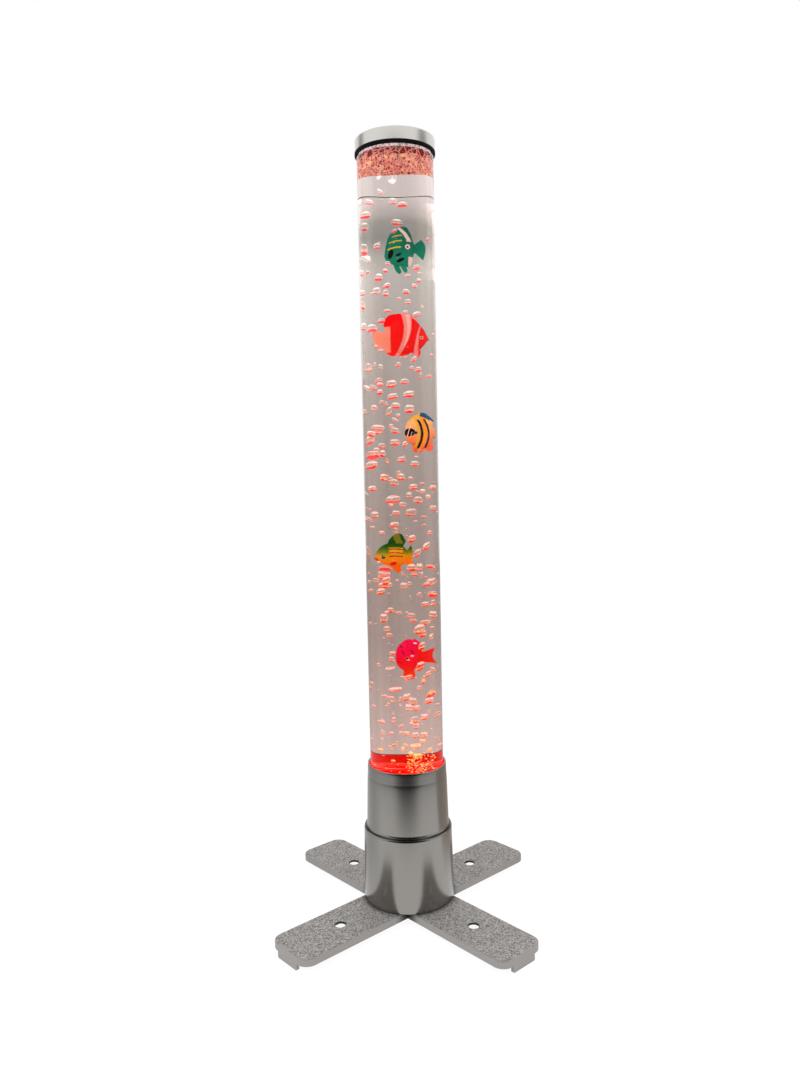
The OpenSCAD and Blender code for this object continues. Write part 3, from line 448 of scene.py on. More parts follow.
silicone = finish("hose_silicone", (0.75, 0.79, 0.79), 0.3, Transmission_Weight=0.5, IOR=1.4)
dress(silicone, "hose_lower", "hose_upper")
dress(finish("valve_plastic", (0.8, 0.83, 0.86), 0.3), "check_valve")
dress(finish("board_green", (0.02, 0.12, 0.06), 0.4, size=2.0, shade=0.3), "control_board")
dress(finish("board_white", (0.8, 0.8, 0.78), 0.35), "led_board")
dress(finish("lead_sheath", (0.015, 0.015, 0.015), 0.5), "wiring")
dress(finish("turned_brass", (0.75, 0.55, 0.25), 0.3, Metallic=1.0), "led_spacers")
dress(finish("lit_lens", (1.0, 0.06, 0.04), 0.25, Emission_Color=(1, 0.03, 0.02, 1),
             Emission_Strength=6.0), "led_emitters")

# ---------------------------------------------------------- tube and floor
# A clear acrylic tube, 100 mm across with a 3 mm wall, filled with water to
# just under the cap. Its bonded floor glows red from the lights below.

WATER_TOP, FOAM_LOW, FOAM_HIGH = 972.5, 973.6, 1009.0
FLOOR_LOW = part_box("tube_floor")[0].z / MM
TUBE_LOW, TUBE_TOP = (corner.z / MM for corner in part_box("bubble_tube"))
TUBE_R, BORE_R = 50.0, 47.0


def ramp_of(value, tones):
    """A colour looked up along (place, colour) stops."""
    fade = add(value.tree, "ValToRGB", {0: value})
    stops = fade.socket.node.color_ramp.elements
    while len(stops) < len(tones):
        stops.new(0.5)
    for stop, (at, tone) in zip(stops, tones):
        stop.position = at
        stop.color = (*tone, 1)
    return fade


def acrylic(name, ior, gloss):
    """Polished clear acrylic, painted greyer where the room behind is dim."""
    mat, tree, skin = shader(name, Roughness=0.0, IOR=ior, Transmission_Weight=1.0,
                             Specular_Tint=(gloss, gloss, gloss, 1))
    place = here(tree)
    up = remap(split(place)[2], 0.2, 1.0)
    # Painted light: the tint is pinker low down for the red glow, and a painted dark band lies
    # just under the water's surface.
    behind = ramp_of(up, [
        (0.0, (0.79, 0.65, 0.62)), (0.05, (0.74, 0.63, 0.60)), (0.22, (0.60, 0.52, 0.49)),
        (0.40, (0.585, 0.52, 0.49)), (0.71, (0.66, 0.61, 0.58)), (0.84, (0.71, 0.68, 0.65)),
        (0.895, (0.48, 0.465, 0.44)), (0.93, (0.76, 0.70, 0.68)), (1.0, (0.84, 0.79, 0.775))])
    # Painted streaks, light and dark, for what the wall shows of the room.
    stretched = add(tree, "Mapping", {0: place, "Scale": (95, 95, 1.2)})
    streaks = remap(mottle(stretched, 1.0, 3.0), 0.3, 0.7, 0.945, 1.055)
    # A painted lift towards the edges, more so higher up.
    turned = add(tree, "LayerWeight", {"Blend": 0.5}, "Facing")
    turned = remap(turned, 0.06, 0.30, 0.0, 0.20, "SMOOTHSTEP")
    feed(skin, {"Base Color": scaled(behind, streaks + turned * (up * up))})
    clear = add(tree, "BsdfTransparent", {"Color": (0.92, 0.9, 0.89, 1)})
    shadow_ray = add(tree, "LightPath", out="Is Shadow Ray")
    feed(tree.nodes["Material Output"], {
        0: add(tree, "MixShader", {0: shadow_ray, 1: Wire(skin.outputs[0]), 2: clear})})
    mat.diffuse_color = (0.8, 0.85, 0.85, 0.3)
    return mat


dry = acrylic("acrylic_in_air", 1.49, 0.12)
wet = acrylic("acrylic_in_water", 1.12, 0.5)
tube = lathe("tube", [(TUBE_R, TUBE_LOW), (TUBE_R, TUBE_TOP), (BORE_R, TUBE_TOP),
                      (BORE_R, FOAM_HIGH), (BORE_R, FLOOR_LOW), (BORE_R, TUBE_LOW)],
             [dry, wet], segments=256, which=[0, 0, 0, 1, 0, 0])
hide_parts("bubble_tube")
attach(tube, "stand")


def lit(name, base, **sockets):
    """A part whose colour is painted glow: emission over a dark base colour."""
    return shader(name, **{"Roughness": 0.5, "Emission_Strength": 1.0, "Specular_IOR_Level": 0.1,
                           "Base_Color": (*base, 1), **sockets})


def mixed(share, a, b):
    """A colour between two others, each a wire or (red, green, blue)."""
    ends = {key: value if isinstance(value, Wire) else (*value, 1)
            for key, value in ((6, a), (7, b))}
    return add(share.tree, "Mix", {0: share, **ends}, 2, data_type="RGBA")


# Painted glow: the floor's colour is streaky red emission for the lights below it.
glow, tree, skin = lit("lit_floor", (0.02, 0.0, 0.0), Specular_IOR_Level=0.0)
place = here(tree)
long_way = add(tree, "Mapping", {0: place, "Scale": (30, 210, 60)})
streaks = ramp_of(mottle(long_way, 1.0, 4.0, Roughness=0.65, Distortion=0.6), [
    (0.34, (1.1, 0.0, 0.0)), (0.42, (1.5, 0.0, 0.0)), (0.53, (1.5, 0.02, 0.01)),
    (0.61, (1.4, 0.24, 0.17)), (0.72, (1.4, 0.55, 0.4))])
# Painted shade: the glow fades to a dark ring at the floor's edge, where it meets the bore.
far = vector("LENGTH", vector("MULTIPLY", place, (1, 1, 0)))
feed(skin, {"Emission Color": scaled(streaks, remap(far, 0.0452, 0.0461, 1.0, 0.12))})
glow.diffuse_color = (0.95, 0.2, 0.2, 1)
dress(glow, "tube_floor")

# Painted glow: the seal under the tube's rim is mottled red emission.
ring, tree, skin = lit("lit_seal", (0.02, 0.0, 0.0), Specular_IOR_Level=0.0)
feed(skin, {"Emission Color": mixed(mottle(here(tree), 55.0), (1.1, 0.0, 0.0), (1.5, 0.02, 0.01))})
dress(ring, "rim_seal")
dress(finish("nozzle_lit_from_below", (0.05, 0.01, 0.01), 0.4, Emission_Color=(0.9, 0.01, 0.01, 1),
             Emission_Strength=1.0), "air_nozzle")

# ------------------------------------------------------ water top and foam
# The water's surface mirrors the tube when seen from below, with a painted dark line
# where it creeps up the back wall. A thick foam of air cells stands over it, and a film of
# fine droplets clings to the wall between foam and cap.


def sway(x, y):
    """How far the stirred surface lies from its mean height, in millimetres."""
    u, v = x / (BORE_R * MM), y / (BORE_R * MM)
    return 10.0 * u * u - 3.0 * v - 3.0


still, tree, skin = shader("water_surface", Roughness=0.0, IOR=1.33, Transmission_Weight=1.0)
facing = split(add(tree, "NewGeometry", out="Normal"))[2]
feed(skin, {"Normal": add(tree, "CombineXYZ", {2: maths("SIGN", facing)})})
still.diffuse_color = (0.9, 0.92, 0.92, 0.3)
water_top = lathe("water_top", [(r, WATER_TOP) for r in (46.9, 42, 36, 28, 20, 12, 6, 0)],
                  [still], closed=False)
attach(water_top, "stand")

# Painted shade: the meniscus is darkest a little left of the middle and paler towards its ends.
creep, tree, skin = shader("wall_meniscus", Roughness=0.5, Specular_IOR_Level=0.1)
from_darkest = abs(split(here(tree))[0] + 0.012)
feed(skin, {"Base Color": mixed(remap(from_darkest, 0.009, 0.017), (0.01, 0.01, 0.01),
                                (0.42, 0.38, 0.36))})
meniscus = lathe("meniscus", [(46.5, WATER_TOP - 0.1), (46.9, WATER_TOP - 0.35),
                              (46.9, WATER_TOP + 0.35), (46.5, WATER_TOP + 0.1)], [creep])
work = bmesh.new()
work.from_mesh(meniscus.data)
hidden = [v for v in work.verts if v.co.y < 0.012 or abs(v.co.x) > 0.036]
bmesh.ops.delete(work, geom=hidden, context="VERTS")
work.to_mesh(meniscus.data)
work.free()
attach(meniscus, "stand")
for piece in (water_top, meniscus):
    for v in piece.data.vertices:
        v.co.z += sway(v.co.x, v.co.y) * MM

# Painted glow: the foam's colour is red emission for the light from below, bright at the cell
# walls, with larger, darker cells at the top.
froth, tree, skin = lit("foam_cells", (0.03, 0.01, 0.01))
place = here(tree)
warp = mottle(place, 120.0)
shift = vector("SUBTRACT", warp.peer(1), (0.5, 0.5, 0.5))
moved = vector("MULTIPLY_ADD", shift, (0.004, 0.004, 0.004), place)


def cells(size, wall):
    """Air cells of a mean size in millimetres: how near the wall, and a random tone."""
    setting = {"Vector": moved, "Scale": 1000 / size}
    near = add(tree, "TexVoronoi", setting, feature="DISTANCE_TO_EDGE")
    tone = add(tree, "TexVoronoi", setting, "Color")
    return remap(near, 0.0, wall, 1.0, 0.0), split(tone, "SeparateColor")[0]


fine_rim, fine_tone = cells(3.1, 0.15)
big_rim, big_tone = cells(8.0, 0.11)
fine_air = ramp_of(fine_tone, [
    (0.0, (0.22, 0.01, 0.01)), (0.2, (0.5, 0.05, 0.04)), (0.42, (0.85, 0.23, 0.17)),
    (0.6, (0.5, 0.06, 0.05)), (0.72, (0.2, 0.13, 0.10)), (0.84, (0.95, 0.36, 0.27)),
    (1.0, (1.05, 0.62, 0.22))])
big_air = ramp_of(big_tone, [
    (0.0, (0.03, 0.004, 0.004)), (0.4, (0.20, 0.012, 0.012)), (0.7, (0.07, 0.02, 0.012)),
    (1.0, (0.16, 0.09, 0.06))])
fine_foam = mixed(fine_rim, fine_air, (1.05, 0.44, 0.33))
big_foam = mixed(big_rim, big_air, (1.0, 0.33, 0.25))
upper = remap(warp * 0.016 + split(place)[2], 1.0078, 1.0090)
feed(skin, {"Emission Color": mixed(upper, fine_foam, big_foam),
            "Normal": bump(fine_rim, 0.5, 0.8)})
froth.diffuse_color = (0.9, 0.5, 0.45, 1)

FOAM_R = 46.7
foam = lathe(
    "foam",
    [(r, FOAM_LOW) for r in (0, 6, 12, 18, 24, 30, 36, 40, 43, 45.2)] + [(FOAM_R, FOAM_LOW + 0.6)]
    + [(FOAM_R, z) for z in range(977, 1008, 4)] + [(46.2, FOAM_HIGH - 0.7)]
    + [(r, FOAM_HIGH) for r in (44, 36, 28, 20, 12, 6, 0)],
    [froth], segments=240, closed=False, angle=80)
for v in foam.data.vertices:
    dip = noise.noise(v.co * 90) * 2.2 + noise.noise(v.co * 240) * 1.2
    share = (FOAM_HIGH - v.co.z / MM) / (FOAM_HIGH - FOAM_LOW)
    rough = dip * 0.5 if share < 0.1 else abs(dip) * 0.4 if share > 0.9 else 0
    v.co.z += (sway(v.co.x, v.co.y) * share + rough) * MM
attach(foam, "stand")

# Painted glints: the droplets' colour is emission in grey, pink and white specks.
mist, tree, skin = lit("film_of_droplets", (0.05, 0.05, 0.05), Roughness=0.6)
feed(skin, {"Emission Color": ramp_of(mottle(here(tree), 420.0), [
    (0.35, (0.36, 0.2, 0.22)), (0.5, (0.66, 0.55, 0.57)), (0.6, (0.88, 0.8, 0.82))])})
film = lathe("wet_film", [(46.9, 1008.4), (46.9, 1011.6), (46.5, 1011.6), (46.5, 1008.4)], [mist])
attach(film, "stand")

# --------------------------------------------------------------------- fish
# Five hollow moulded toy fish, hand painted, that float in the water and are
# carried about by the bubbles. Body, fins, tail and eyes are one moulding.


def eased(points, at):
    """A smooth curve through control tuples, at a share of its length."""
    t = at * (len(points) - 1)
    i = min(int(t), len(points) - 2)
    t -= i
    p = [points[max(min(i + k, len(points) - 1), 0)] for k in (-1, 0, 1, 2)]
    return [0.5 * (2 * b + (c - a) * t + (2 * a - 5 * b + 4 * c - d) * t * t
                   + (3 * b - a - 3 * c + d) * t ** 3) for a, b, c, d in zip(*p)]


fish_at = {"green_fish": Vector((0.0027, 0, 0.893)), "red_fish": Vector((0.0085, 0, 0.779)),
           "striped_fish": Vector((0.017, 0, 0.654)), "golden_fish": Vector((-0.009, 0, 0.496)),
           "pink_fish": Vector((0.009, 0, 0.355))}

# Stripe: a painted line that bows across the body, between two ends
stripe, given, put = node_group("stripe", {
    "Along": 0.0, "Across": 0.0, "Middle": 0.0, "Slope": 0.0, "Bow": 0.0, "Half Width": 1.0,
    "Widening": 0.0, "Start": -99.0, "End": 99.0, "Soft": 0.5}, {"Mask": "Float"})
along, soft = given["Along"], given["Soft"]
line = along * along * given["Bow"] + (along * given["Slope"] + given["Middle"])
half = along * given["Widening"] + given["Half Width"]
inside = (half - abs(given["Across"] - line)) / soft
ends = maths("MINIMUM", (along - given["Start"]) / soft, (given["End"] - along) / soft)
feed(put, {"Mask": maths("ADD", maths("MINIMUM", inside, ends), 0.5, clamp=True)})

# Spot: a painted oval, turned by an angle
spot, given, put = node_group("spot", {
    "X": 0.0, "Z": 0.0, "Middle X": 0.0, "Middle Z": 0.0, "Long": 1.0, "Short": 1.0,
    "Turn": 0.0, "Soft": 0.4}, {"Mask": "Float"})
dx, dz = given["X"] - given["Middle X"], given["Z"] - given["Middle Z"]
cosine, sine = maths("COSINE", given["Turn"]), maths("SINE", given["Turn"])
u = (dx * cosine + dz * sine) / given["Long"]
v = (dz * cosine - dx * sine) / given["Short"]
inside = maths("SUBTRACT", 1.0, maths("SQRT", u * u + v * v)) * given["Short"]
feed(put, {"Mask": maths("ADD", inside / given["Soft"], 0.5, clamp=True)})


def fish_paint(name, base, layers):
    """Glossy paint in layers over a base that runs from belly to back. A layer is
    (colour, kind, numbers): kind is up or along for a stripe, or spot, and the
    numbers are the inputs of its group, in millimetres from the fish's middle."""
    mat, tree, skin = shader(name, Roughness=0.35, Specular_IOR_Level=0.15,
                             Emission_Strength=0.35)
    place = here(tree)
    x, y, z = split(scaled(vector("SUBTRACT", place, fish_at[name]), 1000.0))
    wobble = mottle(place, 260.0) * 1.2 + -0.6
    zw, xw = z + wobble, x + wobble
    colour = ramp_of(remap(zw, -30.0, 30.0), base)
    for tone, kind, numbers in layers:
        group = spot if kind == "spot" else stripe
        pair = (zw, xw) if kind == "up" else (xw, zw)
        mask = add(tree, "Group", dict(enumerate((*pair, *numbers))), node_tree=group)
        colour = mixed(mask, colour, tone)
    # The paint is also emission of its own colour: a painted glow, for the light that reaches the
    # fish in the water.
    feed(skin, {"Base Color": colour, "Emission Color": colour,
                "Normal": bump(mottle(place, 420.0), 0.15, 0.5)})
    return mat


def fish(body, slot, base, layers, spine, fins, eyes):
    """A toy fish in its paint: spine lists (x, top, bottom), each fin (root, edge,
    y), each eye (x, z, radius), all in millimetres from the fish's middle."""
    paint = fish_paint(body, base, layers)
    work = bmesh.new()
    count, around, thick = 30, 24, 15
    tallest = max(t - b for _, t, b in spine)

    def swell(u):
        """Middle, half height and half thickness of the body at a share of its length."""
        x, hi, lo = eased(spine, u)
        end = min(1.0, math.sin(math.pi * min(max(u, 0.012), 0.985)) * 2.2)
        high = max((hi - lo) / 2, 0.3) * end ** 0.5
        return x, (hi + lo) / 2, high, thick / 2 * (2 * high / tallest) ** 0.75

    rings = []
    for i in range(count + 1):
        x, z, high, wide = swell(i / count)
        turns = [2 * math.pi * j / around for j in range(around)]
        rings.append([work.verts.new((x, wide * math.cos(a), z + high * math.sin(a)))
                      for a in turns])
    for a, b in zip(rings, rings[1:]):
        for j in range(around):
            m = (j + 1) % around
            work.faces.new((a[j], b[j], b[m], a[m]))
    work.faces.new(rings[0])
    work.faces.new(rings[-1][::-1])
    for root, edge, y in fins:
        across, out = 18, 8
        sides = []
        for s in (-1, 1):
            grid = []
            for i in range(across + 1):
                a, b = eased(root, i / across), eased(edge, i / across)
                row = []
                for j in range(out + 1):
                    t = j / out
                    ray = 0.14 * math.sin(i * 2.2) * t
                    half = 0.75 * (1 - t) + 0.22
                    row.append(work.verts.new((a[0] + (b[0] - a[0]) * t,
                                               y * (0.4 + t) + s * half + ray,
                                               a[1] + (b[1] - a[1]) * t)))
                grid.append(row)
            sides.append(grid)
            for a, b in zip(grid, grid[1:]):
                for j in range(out):
                    work.faces.new((a[j], b[j], b[j + 1], a[j + 1]))
        near, far = sides
        rim = [(i, 0) for i in range(across)] + [(across, j) for j in range(out)] \
            + [(i, out) for i in range(across, 0, -1)] + [(0, j) for j in range(out, 0, -1)]
        for (i, j), (k, m) in zip(rim, rim[1:] + rim[:1]):
            work.faces.new((near[i][j], near[k][m], far[k][m], far[i][j]))
    for ex, ez, r in eyes:
        nearest = min((abs(eased(spine, u / 60)[0] - ex), u / 60) for u in range(61))[1]
        _, z, high, wide = swell(nearest)
        out = wide * math.sqrt(max(0.05, 1 - ((ez - z) / high) ** 2))
        for s in (-1, 1):
            dome = bmesh.ops.create_uvsphere(work, u_segments=16, v_segments=10, radius=r)
            for v in dome["verts"]:
                v.co = Vector((v.co.x + ex, v.co.y * 0.55 + s * out, v.co.z + ez))
    bmesh.ops.recalc_face_normals(work, faces=work.faces)
    for v in work.verts:
        v.co = v.co * MM + fish_at[body]
    obj = smooth(body, mesh_of(body, work), [paint], 50)
    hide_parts(slot)
    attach(obj, body)


BLACK, PALE = (0.004, 0.004, 0.004), (1, 0.72, 0.66)
TEAL, YELLOW = (0.004, 0.19, 0.115), (0.75, 0.5, 0.01)
fish("green_fish", "fish_green", [
    (0.15, (0.012, 0.24, 0.14)), (0.5, TEAL), (0.9, (0.003, 0.19, 0.14))], [
    (YELLOW, "along", (-0.7, 0, -0.022, 0.85, 0, -11.5, 2, 0.7)),
    (YELLOW, "along", (7.3, 0.05, -0.02, 0.75, 0, -10, 3, 0.7)),
    (YELLOW, "along", (14, 0.08, -0.02, 0.7, 0, -7, 3.2, 0.7)),
    (PALE, "up", (10.8, 0.05, -0.022, 2, 0, 6, 30, 0.8)),
    (PALE, "up", (12.6, 0.1, 0, 1.7, 0, -26, -13, 0.8)),
    (BLACK, "spot", (-8.6, -9, 6, 2.5, 1.35, 0.6)),
    (BLACK, "spot", (-0.7, -10.2, 3.6, 1.7, 0.55, 0.5)),
    (BLACK, "spot", (1, -17, 4.6, 2, 0.5, 0.5)),
    ((1.2, 0.75, 0.72), "spot", (8.8, -0.6, 2.5, 2.9, 0, 0.5)),
    (BLACK, "spot", (8.8, -0.8, 1.2, 1.4, 0, 0.4))],
    [(-15, -10, -12), (-13.5, 2, -16.5), (-10, 15, -20), (-2, 24, -23.5), (6, 26, -25),
     (10.5, 19, -23.5), (13, 10, -14), (16, 1, -5.5)],
    [([(13, 1.5), (15, -2), (13, -5)], [(22, 10), (26, 2.5), (26, -7), (23.5, -16.5)], 0),
     ([(-7, -20), (-1, -22)], [(-4, -30), (-1, -33), (1.5, -31)], 2.2),
     ([(0, -22), (6, -23)], [(3, -30), (6, -33), (8, -30)], -2.2)],
    [(8.8, -0.7, 2.2)])

fish("red_fish", "fish_red", [
    (0.1, (1.1, 0.012, 0.006)), (0.9, (0.95, 0, 0.004))], [
    ((1.1, 0.33, 0.22), "up", (-31, 0, 0, 14.5, 0, -20, 13, 1)),
    ((1, 0.3, 0.27), "up", (0.2, 0.22, -0.0088, 3.3, 0.05, -40, 40, 0.8)),
    ((1.15, 0.52, 0.47), "up", (1.4, 0.22, -0.0088, 1.1, 0.03, -12, 40, 1.2)),
    ((1.1, 0.3, 0.28), "up", (12, 0.145, 0, 1.1, -0.05, -40, 40, 0.7)),
    ((1, 0.6, 0.55), "spot", (15.8, -1.8, 1.9, 1.9, 0, 0.4)),
    (BLACK, "spot", (15.8, -1.8, 1.15, 1.15, 0, 0.4))],
    [(-20, 4, -7), (-15, 19, -16), (-8, 26, -21), (0, 27, -21.5), (7, 23, -20.5), (13, 15.5, -17),
     (18, 7.5, -10.5), (23.5, -3, -5)],
    [([(-15, 4), (-16, -1.5), (-15, -7)], [(-32.5, 9), (-34, 0), (-32, -8), (-28, -16)], 0),
     ([(-15, 7), (-9, 18), (5, 22)],
      [(-20.5, 5.5), (-23, 17), (-18, 27.5), (-6, 29.5), (6, 27)], 0),
     ([(-14, -8), (-8, -16), (3, -18)],
      [(-20.5, -8.5), (-23, -16), (-17, -24), (-7, -25), (2, -23)], 0),
     ([(4, -18), (12, -16)], [(7, -25), (11, -27), (14, -20)], 0)],
    [(15.8, -1.8, 1.5)])

BLUE, DAWN = (0.01, 0.13, 0.3), (1.2, 0.9, 0.85)
fish("striped_fish", "fish_striped", [
    (0.1, (1.3, 0.15, 0.05)), (0.42, (1.3, 0.36, 0.12)), (0.72, (1.2, 0.68, 0.25)),
    (0.85, (0.95, 0.6, 0.08))], [
    ((1.2, 0.42, 0.02), "up", (10, 0.05, -0.013, 2.4, 0.03, -24, 20, 1.2)),
    ((0.95, 0.58, 0.04), "up", (2.6, 0, -0.012, 1.2, 0, -20, 24, 1)),
    (BLACK, "up", (6.6, -0.03, -0.0155, 1.5, 0, -21, 17, 0.6)),
    (BLACK, "up", (13.9, -0.06, -0.016, 1.1, 0, -20, 17, 0.6)),
    (BLACK, "spot", (-7, 0.4, 6.2, 5.2, 0.25, 0.5)),
    (DAWN, "up", (-8.4, 0.25, 0, 0.45, 0, -5, 9, 0.4)),
    (DAWN, "up", (-4.6, 0.3, 0, 0.3, 0, -6, 1, 0.4)),
    (BLUE, "along", (31.5, -0.52, 0, 8, 0, 3.5, 40, 0.8)),
    ((0.02, 0.25, 0.3), "up", (28, 0, 0, 9, 0, -30, -6, 1)),
    ((0.02, 0.2, 0.25), "spot", (-0.4, -0.4, 2.1, 2.1, 0, 0.5)),
    (BLACK, "spot", (-0.4, -0.4, 1.2, 1.2, 0, 0.4)),
    ((0.1, 0.02, 0.01), "along", (-13.5, 0.45, 0.03, 0.3, 0, -7, -1, 0.4))],
    [(-12.8, 1.5, -4), (-11, 11, -10), (-7, 18.5, -14.5), (-2, 23, -19), (5, 24.5, -22.5),
     (12, 18, -20), (16.5, 9, -13), (20.5, 0.5, -6.5)],
    [([(0, 19), (8, 17), (15, 8)], [(1, 24.5), (7, 26), (14, 20.5), (19.5, 14.5)], 0),
     ([(17, 1), (18, -3), (17, -7)], [(21, 6.5), (21.3, 0), (20.8, -8)], 0),
     ([(7, -18), (13, -14)], [(11, -25), (16, -23.5), (19, -17)], 0),
     ([(-5, -15), (0, -18)], [(-5, -23), (-2, -26.5), (0, -24)], 2),
     ([(1, -18), (5, -20)], [(2, -25), (4, -27.5), (6, -25)], -2)],
    [(-0.4, -0.4, 1.7)])

LEAF, RUST = (0.012, 0.1, 0.006), (0.7, 0.015, 0.004)
fish("golden_fish", "fish_golden", [
    (0.1, (1.15, 0.16, 0.005)), (0.33, (1.15, 0.34, 0.005)), (0.43, (0.9, 0.42, 0)),
    (0.5, (0.25, 0.3, 0.005)), (0.58, (0.04, 0.17, 0.004)), (0.68, LEAF)], [
    ((0.22, 0.24, 0.02), "up", (9.5, -0.3, 0, 3.4, 0, 11.5, 30, 1.2)),
    ((0.85, 0.6, 0.02), "along", (2, 0, -0.01, 4.4, 0, -5, 9.5, 1.6)),
    (RUST, "along", (4.6, 0, -0.012, 0.85, 0, -5.5, 9.5, 0.5)),
    (RUST, "along", (-0.2, 0, -0.012, 0.85, 0, -5.5, 10, 0.5)),
    (RUST, "along", (-4.9, 0.02, -0.012, 0.85, 0, -5, 9.5, 0.5)),
    ((0.95, 0.01, 0.004), "spot", (-0.5, -15, 3.8, 2.4, 0.35, 0.5)),
    ((0.95, 0.02, 0.006), "spot", (-18.5, -10.5, 3.6, 2, -0.7, 0.6)),
    ((0.45, 0.5, 0.06), "spot", (-11.2, -5.8, 3.1, 3.1, 0, 0.5)),
    (BLACK, "spot", (-11.2, -5.8, 2.2, 2.2, 0, 0.5)),
    # A painted highlight on the eye.
    ((1.1, 1, 0.8), "spot", (-10.6, -5, 0.6, 0.6, 0, 0.3))],
    [(-20.5, -7, -11), (-17.5, 1, -12), (-12, 8.5, -15.5), (-5, 12, -19.5), (3, 11.5, -20.5),
     (9.5, 7.5, -17), (14, 2, -11), (17, -1, -8)],
    [([(-7, 8), (0, 9.5), (9, 6)], [(-5, 16), (1, 23.5), (8, 24), (12.5, 14.5)], 0),
     ([(13, 1), (14.5, -4), (13, -9)], [(17.5, 9), (19.5, 1), (18, -6), (19.5, -15)], 0),
     ([(-2, -18), (6, -17)], [(0, -25), (4, -28), (7.5, -24)], 0),
     ([(9, -13), (13, -9)], [(13, -17), (17, -19), (19, -15)], 0)],
    [(-11.2, -5.8, 2.5)])

WINE = (0.45, 0, 0.02)
fish("pink_fish", "fish_pink", [
    (0.1, (1.15, 0.05, 0.004)), (0.32, (1.15, 0.008, 0.02)), (0.6, (1.1, 0.002, 0.085)),
    (0.85, (1.1, 0.005, 0.12))], [
    ((1.1, 0.01, 0.004), "up", (20, 0, 0, 15.5, 0, -22, 11, 3)),
    (WINE, "up", (-5, -0.55, 0, 0.8, 0, 12, 17, 0.8)),
    (WINE, "up", (-8, -0.5, 0, 0.8, 0, 3, 8, 0.8)),
    (WINE, "up", (2.5, -0.5, 0, 0.7, 0, 4, 9, 0.8)),
    ((1.1, 0.16, 0.13), "spot", (-6.2, -2.3, 2.1, 2.1, 0, 0.6)),
    (BLACK, "spot", (-6.2, -2.3, 1.45, 1.45, 0, 0.4)),
    ((0.35, 0, 0), "along", (-10, 0.1, 0.02, 0.35, 0, -17, -11, 0.4))],
    [(-18.5, 2, -7), (-16.5, 11.5, -13), (-10.5, 20, -19.5), (-3.5, 23, -21.5), (3, 18, -16.5),
     (7, 9.5, -10.5), (12, 4, -7)],
    [([(-3, 19), (3, 14), (6, 8)], [(1, 23.5), (6, 19), (9.5, 11)], 0),
     ([(7, 4), (8, -2), (7, -8)], [(24, 10.5), (20.5, 2), (21, -5), (26, -12)], 0),
     ([(-10, -17), (-5, -19)], [(-11, -26), (-7, -31), (-4, -28)], 2),
     ([(-5, -19), (0, -18)], [(-5, -27), (-1, -31.5), (2, -26)], -2),
     ([(1, -14), (7, -9)], [(4, -20), (9, -18), (12, -11)], 0)],
    [(-6.2, -2.3, 1.8)])

# ------------------------------------------------------------------ bubbles
# Air from the nozzle rises as flattened, tilting bubbles, thickest low down and along
# the walls. Each is painted white on top and red below, as emission by which way its surface
# faces, and near the floor they are painted gold glints.

air, tree, skin = lit("air_bubble", (0.02, 0.01, 0.01), Roughness=0.2, Emission_Strength=1.4)
place = here(tree)
facing = add(tree, "NewGeometry", out="Normal")
ripple = mottle(place, 520.0, Distortion=1.5)
turned_up = maths("MULTIPLY_ADD", ripple - 0.5 + split(facing)[2], 0.5, 0.5, clamp=True)
height = split(place)[2]
# Painted highlights and painted red glow by which way the surface faces: white on top, red with
# yellow lines below.
lit_low = ramp_of(turned_up, [
    (0.0, (1.1, 0.15, 0.12)), (0.08, (1.2, 0.0, 0.01)), (0.30, (1.25, 0.0, 0.015)),
    (0.33, (1.35, 0.8, 0.12)), (0.38, (1.5, 1.25, 0.6)), (0.41, (1.25, 0.02, 0.02)),
    (0.50, (1.2, 0.35, 0.3)), (0.60, (1.25, 0.9, 0.8)), (0.64, (1.2, 0.03, 0.03)),
    (0.74, (1.2, 0.5, 0.42)), (0.82, (1.4, 1.2, 1.1)), (1.0, (1.15, 0.3, 0.26))])
lit_high = ramp_of(turned_up, [
    (0.0, (1.0, 0.35, 0.35)), (0.08, (1.15, 0.03, 0.08)), (0.30, (1.2, 0.02, 0.07)),
    (0.34, (1.25, 0.7, 0.3)), (0.38, (1.3, 1.1, 1.0)), (0.42, (1.05, 0.3, 0.32)),
    (0.50, (0.9, 0.8, 0.78)), (0.72, (1.0, 0.95, 0.92)), (0.80, (1.4, 1.38, 1.35)),
    (1.0, (1.15, 1.1, 1.08))])
# Painted gold glints for the small bubbles near the floor.
lit_gold = ramp_of(turned_up, [
    (0.0, (1.2, 0.1, 0.01)), (0.2, (1.2, 0.01, 0.0)), (0.32, (1.3, 0.7, 0.08)),
    (0.42, (1.2, 0.08, 0.01)), (0.55, (1.35, 0.95, 0.2)), (0.66, (1.15, 0.06, 0.02)),
    (0.84, (1.4, 1.2, 0.5)), (1.0, (1.25, 0.6, 0.08))])
by_floor = remap(height, 0.222, 0.250, 1.0, 0.0)
above_floor = mixed(remap(height, 0.48, 0.84, 1.0, 0.0), lit_high, lit_low)
cover = split(ramp_of(turned_up, [
    (at, (share,) * 3) for at, share in (
        (0.0, 1.0), (0.41, 1.0), (0.45, 0.35), (0.52, 0.1), (0.70, 0.12), (0.76, 0.9),
        (0.88, 1.0), (1.0, 0.6))]), "SeparateColor")[0]
cover = maths("MAXIMUM", cover, add(tree, "LayerWeight", {"Blend": 0.3}, "Facing"))
cover = maths("MAXIMUM", cover, by_floor * 0.6)
glint = add(tree, "Attribute", out="Fac", attribute_name="glint")
cover = maths("MULTIPLY", cover, glint * 0.2 + 0.9, clamp=True)
feed(skin, {"Emission Color": mixed(by_floor, above_floor, lit_gold),
            "Alpha": cover * (facing.peer("Backfacing") * -0.85 + 1.0)})
air.diffuse_color = (0.95, 0.6, 0.55, 0.6)

swimmers = bpy.data.collections.new("swimmers")
for name in fish_at:
    swimmers.objects.link(bpy.data.objects[name])


